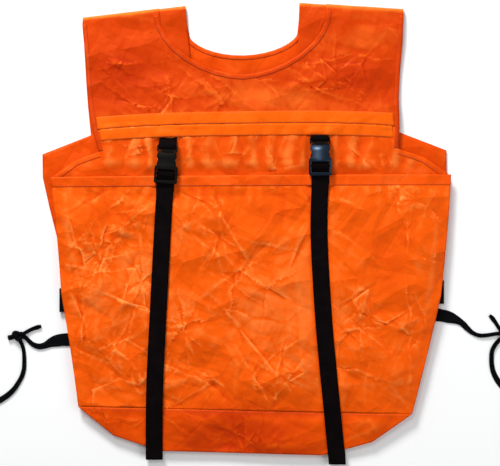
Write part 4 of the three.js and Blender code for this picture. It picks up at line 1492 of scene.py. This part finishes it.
# %% Trim helper
TRIM_CELL = 0.0036
TRIM_GAP = 0.0002
TRIM_SWELL = 0.0003
TRIM_THICKNESS = 0.00025
LOOP_RISE = 0.0019
LOOP_FADE = 0.011


def seed_of(name):
    return sum(ord(letter) * (k + 1) for k, letter in enumerate(name)) % 1000


def nearest_height(under, x, y):
    """The height of the sheet a little way in, for a point just outside its edge."""
    for reach in (0.001, 0.002, 0.004, 0.008):
        for k in range(8):
            angle = math.tau * k / 8
            found = under(x + reach * math.cos(angle), y + reach * math.sin(angle))
            if found is not None:
                return found
    return 0.008


def loop_lift(x, y):
    """How much a hem is raised where a buckle's webbing loop ends under it."""
    lift = 0.0
    for side, facts in BUCKLES.items():
        cx, cy = facts["place"]
        middle = cx - (y - cy) * math.tan(math.radians(facts["turn"]))
        across = max(0.0, abs(x - middle) - 0.0120)
        above = max(0.0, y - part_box(f"{side}_buckle_loop")[1].y - 0.005)
        lift = max(lift, LOOP_RISE * ease(1 - math.hypot(across, above) / LOOP_FADE))
    return lift


def level_of(under, x, y):
    """A height between the mean and the highest of the cloth around this point."""
    around = [under(x + i * 0.004, y + j * 0.005) for i in (-1, 0, 1) for j in (-1, 0, 1)]
    found = [height for height in around if height is not None]
    return (sum(found) / len(found) + max(found)) / 2 if found else None


def trim_strip(name, node, under, material, slot):
    outline = outline_of(node)
    bm = crease_mesh(outline, 0.012, 0.00012, seed_of(name), [], TRIM_CELL)
    bmesh.ops.smooth_vert(
        bm, verts=bm.verts, factor=0.4, use_axis_x=False, use_axis_y=False, use_axis_z=True,
    )

    def place(x, y, crumple):
        base = level_of(under, x, y) if slot == "band_nylon" else under(x, y)
        if base is None:
            base = nearest_height(under, x, y)
        swell = TRIM_SWELL * ease(edge_distance(outline, x, y) / 0.003)
        pucker = 0.00018 * ripple(x * 260, y * 260, 9)
        return Vector((x, y, base + TRIM_GAP + swell + pucker + crumple + loop_lift(x, y)))

    piece = cloth_piece(name, bm, place, material, TRIM_THICKNESS, 0.3)
    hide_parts(node)
    attach(piece)
    return piece


# %% Hems and bands
yoke_top = surface_of(yoke)
body_top = surface_of(body)
front_top = surface_of(yoke, body)
trims = [
    ("back_neckline", "back_neck_hem", back_top, shaded_back_nylon),
    ("front_neckline", "front_neck_hem", yoke_top, shaded_yoke_nylon),
    ("band_upper", "chest_band_upper", front_top, band_nylon),
    ("band_lower", "chest_band_lower", front_top, band_nylon),
    ("pouch_hem", "pouch_top_hem", pouch_top, panel_nylon),
]
for side_name in SIDES:
    trims += [
        (f"{side_name}_armhole", f"{side_name}_armhole_hem", front_top, shaded_yoke_nylon),
        (f"{side_name}_wing_edge", f"{side_name}_wing_hem", body_top, panel_nylon),
    ]
trim_pieces = {}
for trim_name, trim_node, under, finish in trims:
    trim_slot = "band_nylon" if finish is band_nylon else "coated_nylon"
    trim_pieces[trim_name] = trim_strip(trim_name, trim_node, under, finish, trim_slot)


declare_cloth(back_cloth, back_outline)
declare_cloth(yoke, yoke_outline)
declare_cloth(body, body_outline)
declare_cloth(pouch, pouch_outline)

# %% [markdown]
# ## Stitching
# Thread holds every hem. A painted line would stay flat in low light, so each stitch is a tiny
# grain of thread, 2.4 mm long, lying in the cloth along the sewing line. One piece holds all
# the stitches of one line, and a grain has few faces because there are hundreds.

# %% Stitch helper
STITCH_LENGTH = 0.0024
STITCH_PITCH = 0.0038
STITCH_HALF_WIDTH = 0.00034
STITCH_HALF_HEIGHT = 0.00026
STITCH_RISE = 0.00006
STEEPEST = 0.6


def stitch_row(name, points, over, material):
    """Stitches along a line of (x, y) points, lying on the surface `over`."""
    line = refine(points, 0.003, closed=False)
    marks = []
    travelled = 0.0
    due = 0.0
    for first, second in zip(line, line[1:]):
        length = math.hypot(second[0] - first[0], second[1] - first[1])
        while due < travelled + length:
            share = (due - travelled) / length
            marks.append((
                mix(first[0], second[0], share), mix(first[1], second[1], share),
                math.atan2(second[1] - first[1], second[0] - first[0]),
            ))
            due += STITCH_PITCH
        travelled += length
    bm = bmesh.new()
    for x, y, angle in marks:
        dx, dy = math.cos(angle) * 0.001, math.sin(angle) * 0.001
        here, ahead = over(x, y), over(x + dx, y + dy)
        if here is None:
            continue
        tilt = math.atan2((ahead if ahead is not None else here) - here, 0.001)
        tilt = max(-STEEPEST, min(STEEPEST, tilt))
        turn = Matrix.Rotation(angle, 4, "Z") @ Matrix.Rotation(-tilt, 4, "Y")
        size = Matrix.Diagonal((STITCH_LENGTH / 2, STITCH_HALF_WIDTH, STITCH_HALF_HEIGHT, 1))
        place = Matrix.Translation((x, y, here + STITCH_RISE)) @ turn @ size
        bmesh.ops.create_uvsphere(bm, u_segments=6, v_segments=4, radius=1.0, matrix=place)
    attach(object_from(bm, name, material))


def edge_line(node, inset, keep):
    """Part of a sheet's outline, moved inwards, where keep(x, y, dx, dy) says so."""
    outline = refine(outline_of(node), 0.008)
    count = len(outline)
    marks = []
    for k, (x, y) in enumerate(outline):
        (x0, y0), (x1, y1) = outline[k - 1], outline[(k + 1) % count]
        length = math.hypot(x1 - x0, y1 - y0) or 1.0
        dx, dy = (x1 - x0) / length, (y1 - y0) / length
        marks.append((x - inset * dy, y + inset * dx, keep(x, y, dx, dy)))
    start = next(k for k in range(count) if marks[k][2] and not marks[k - 1][2])
    return [(x, y) for x, y, kept in marks[start:] + marks[:start] if kept]


def top_edge(x, y, dx, dy):
    return dx < -0.8


def bottom_edge(x, y, dx, dy):
    return dx > 0.8


def inner_edge(sign):
    """Keeps the edge of a side hem that faces the middle of the vest."""
    return lambda x, y, dx, dy: sign * dy < -0.8


def away_from(*outlines):
    """Keeps the side of a hem that isn't at the sheet's own edge."""
    return lambda x, y, dx, dy: min(edge_distance(line, x, y) for line in outlines) > 0.005


# %% Sew the hems
hem_surface = surface_of(yoke, body, pouch, foot, back_cloth, *trim_pieces.values())
sewing_lines = [
    ("band_stitches_upper", "chest_band_upper", 0.0014, top_edge, dark_thread),
    ("band_stitches_middle", "chest_band_upper", 0.0010, bottom_edge, dark_thread),
    ("band_stitches_lower", "chest_band_lower", 0.0014, bottom_edge, dark_thread),
    ("pouch_hem_stitches", "pouch_top_hem", 0.0016, bottom_edge, soft_thread),
    ("front_neck_stitches", "front_neck_hem", 0.0014, away_from(yoke_outline), dark_thread),
    ("back_neck_stitches", "back_neck_hem", 0.0014, away_from(back_outline), dark_thread),
    ("foot_stitches", "pouch_bottom_gusset", 0.0030, top_edge, soft_thread),
]
for side_name, sign in SIDES.items():
    sewing_lines += [
        (f"{side_name}_{part}_stitches", f"{side_name}_{part}_hem", 0.0014, kept, soft_thread)
        for part, kept in (("armhole", inner_edge(sign)), ("wing", away_from(body_outline)))
    ]
for row_name, node, inset, keep, thread in sewing_lines:
    stitch_row(row_name, edge_line(node, inset, keep), hem_surface, thread)
print("sewing lines:", len(sewing_lines))

# %% [markdown]
# ## Straps
# Each strap is one length of 25 mm webbing: sewn behind the lower edge, folded round it, up over
# the pouch, under the outer bar of the ladder frame, over the inner bar and back beneath as a
# short tail. It is stiffer than the cloth, so it bridges the small creases. One ribbon stands
# for both CAD runs, because a join would open with the buckle.

# %% Straps
FRAME_END = 0.055
HIDDEN_LEVEL = 0.0054
BEND_STEPS = 6


def build_strap(side):
    low = -2.05
    over_bar = 1.25
    tail = -3.85
    head = [
        from_buckle(side, 0, y, z) for y, z in (
            (-41, tail), (-30, tail), (-18, tail), (-10.4, tail + 0.1), (-9.0, tail + 1.0),
            (-8.7, -1.2), (-9.0, over_bar - 0.9), (-10.6, over_bar), (-15.5, over_bar + 0.1),
            (-18.2, over_bar - 0.5), (-21.5, low + 0.9), (-24.4, low + 0.1), (-29, low),
        )
    ]
    lying = [
        Vector((x, y, strap_level(side, y))) for y, x in strap_middles[side] if y < FRAME_END
    ]
    foot_x, foot_y = STRAP_LINES[side][-1]
    radius = (lying[-1].z - HIDDEN_LEVEL) / 2
    bend = []
    for k in range(1, BEND_STEPS + 1):
        angle = math.pi * k / BEND_STEPS
        bend.append(Vector((
            foot_x, foot_y - radius * math.sin(angle) * 0.6,
            HIDDEN_LEVEL + radius + radius * math.cos(angle),
        )))
    hidden = [
        Vector((foot_x + (lying[-6].x - foot_x) * k / 3, foot_y + 0.012 * k, HIDDEN_LEVEL))
        for k in range(1, 4)
    ]
    lying = lying[:-2]
    line = smooth_line([tuple(p) for p in head + lying[::2] + bend + hidden], 0.003)

    def section(share):
        cup = 0.00012 * math.sin(share * 37)
        width = WEB_WIDTH * (1 + 0.05 * ease((0.15 - share) / 0.03))
        return [(a, h + cup * (a / 0.0125) ** 2) for a, h in flat_section(width, WEB_THICKNESS)]

    strap = sweep(f"{side}_strap", line, section, webbing_black)
    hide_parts(f"{side}_strap_upper", f"{side}_strap_main")
    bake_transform(strap)
    print(side, "strap:", round(line_length(line), 3), "m")


for side_name in SIDES:
    build_strap(side_name)

# %% [markdown]
# ## Webbing loops
# A short piece of the same webbing is folded round the bar of each tongue half. Its two ends go
# under the chest band and are caught in the seam there. It is the same kind of ribbon, swept
# along a line that goes round the bar.

# %% Webbing loops
LOOP_WIDTH = WEB_WIDTH * 1.04
LOOP_THICKNESS = 0.0013

for side_name in SIDES:
    seam = (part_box(f"{side_name}_buckle_loop")[1].y - BUCKLES[side_name]["place"][1]) / MM
    loop_points = [
        from_buckle(side_name, 0, y, z) for y, z in (
            (seam + 5, -10.9), (seam + 1, -10.7), (seam - 2, -9.6), (30.0, -4.4), (28.2, -2.85),
            (25.8, -2.65), (22.6, -2.4), (21.5, 0), (22.6, 2.4), (25.8, 2.65), (28.2, 2.3),
            (seam - 4.6, -2.2), (seam - 2.8, -6.0), (seam - 1.4, -8.5), (seam + 1.5, -9.6),
            (seam + 6, -9.7),
        )
    ]
    line = smooth_line([tuple(p) for p in loop_points], 0.0014)
    loop = sweep(
        f"{side_name}_loop", line, lambda share: flat_section(LOOP_WIDTH, LOOP_THICKNESS),
        webbing_black,
    )
    attach(loop)
    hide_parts(f"{side_name}_buckle_loop")
print("loops:", LOOP_WIDTH, "m wide")

# %% [markdown]
# ## Buckles
# The buckle halves and latch arms have their true shape in the CAD model, and could stay as they
# are. A moulded part has no knife edges, though, so each one is copied, its loose triangles are
# merged, and its edges are rounded by a small bevel that catches the light.

# %% Buckles
MERGE_WITHIN = 2e-6
NEARLY_FLAT = math.radians(1.0)
SHARP_EDGE = math.radians(35)
SHADED_SHARP = math.radians(32)


def moulded_copy(node, body_name, radius, plastic=dull_plastic):
    bm = bmesh.new()
    bm.from_mesh(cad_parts[node].data)
    bmesh.ops.remove_doubles(bm, verts=bm.verts, dist=MERGE_WITHIN)
    bmesh.ops.dissolve_limit(bm, angle_limit=NEARLY_FLAT, verts=bm.verts, edges=bm.edges)
    sharp = [
        edge for edge in bm.edges
        if len(edge.link_faces) == 2 and edge.calc_face_angle(0) > SHARP_EDGE
    ]
    bmesh.ops.bevel(
        bm, geom=sharp, offset=radius, offset_type="OFFSET", affect="EDGES",
        segments=2, profile=0.5, material=-1, clamp_overlap=True,
    )
    bmesh.ops.triangulate(bm, faces=[face for face in bm.faces if len(face.verts) > 4])
    bmesh.ops.recalc_face_normals(bm, faces=bm.faces)
    piece = object_from(bm, f"{node}_moulded", plastic)
    piece.data.set_sharp_from_angle(angle=SHADED_SHARP)
    attach(piece, body_name)
    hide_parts(node)


for side_name in SIDES:
    moulded_copy(f"{side_name}_tongue_base", "vest", 0.0005)
    finish = shiny_plastic if side_name == "right" else dull_plastic
    moulded_copy(f"{side_name}_socket_half", f"{side_name}_socket", 0.0006, finish)
    for arm in ("outer", "inner"):
        moulded_copy(f"{side_name}_latch_{arm}", f"{side_name}_{arm}_arm", 0.0004)
    print(side_name, "buckle:", finish.name)

# %% [markdown]
# ## Side elastics
# A piece of black elastic joins the two panels at each side. It is folded double with its bend
# facing out. Its rubber cords make ribs along its length, which are in the swept section.

# %% Side elastics
ELASTIC_THICKNESS = 0.0011
ELASTIC_CLEARANCE = 0.0005
ELASTIC_RIBS = 2600

for side_name, sign in SIDES.items():
    low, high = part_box(f"{side_name}_side_elastic")
    middle_y = (low.y + high.y) / 2
    outer_x = high.x if sign > 0 else low.x
    inner_x = low.x if sign > 0 else high.x
    radius = (high.z - low.z) / 2 - ELASTIC_CLEARANCE
    centre_z = (high.z + low.z) / 2
    bend_x = outer_x - sign * (radius + ELASTIC_CLEARANCE)
    points = [Vector((inner_x, middle_y, centre_z - radius))]
    for k in range(9):
        angle = -math.pi / 2 + math.pi * k / 8
        points.append(Vector((
            bend_x + sign * radius * math.cos(angle), middle_y,
            centre_z + radius * math.sin(angle),
        )))
    points.append(Vector((inner_x, middle_y, centre_z + radius)))
    line = smooth_line([tuple(p) for p in points], 0.001)

    def elastic_section(share):
        return [
            (a, h * (1 + 0.12 * math.cos(a * ELASTIC_RIBS)))
            for a, h in flat_section(high.y - low.y, ELASTIC_THICKNESS, 40)
        ]

    elastic = sweep(f"{side_name}_elastic", line, elastic_section, elastic_black)
    attach(elastic)
    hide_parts(f"{side_name}_side_elastic")
    print(side_name, "elastic:", round(high.y - low.y, 4), "m wide")
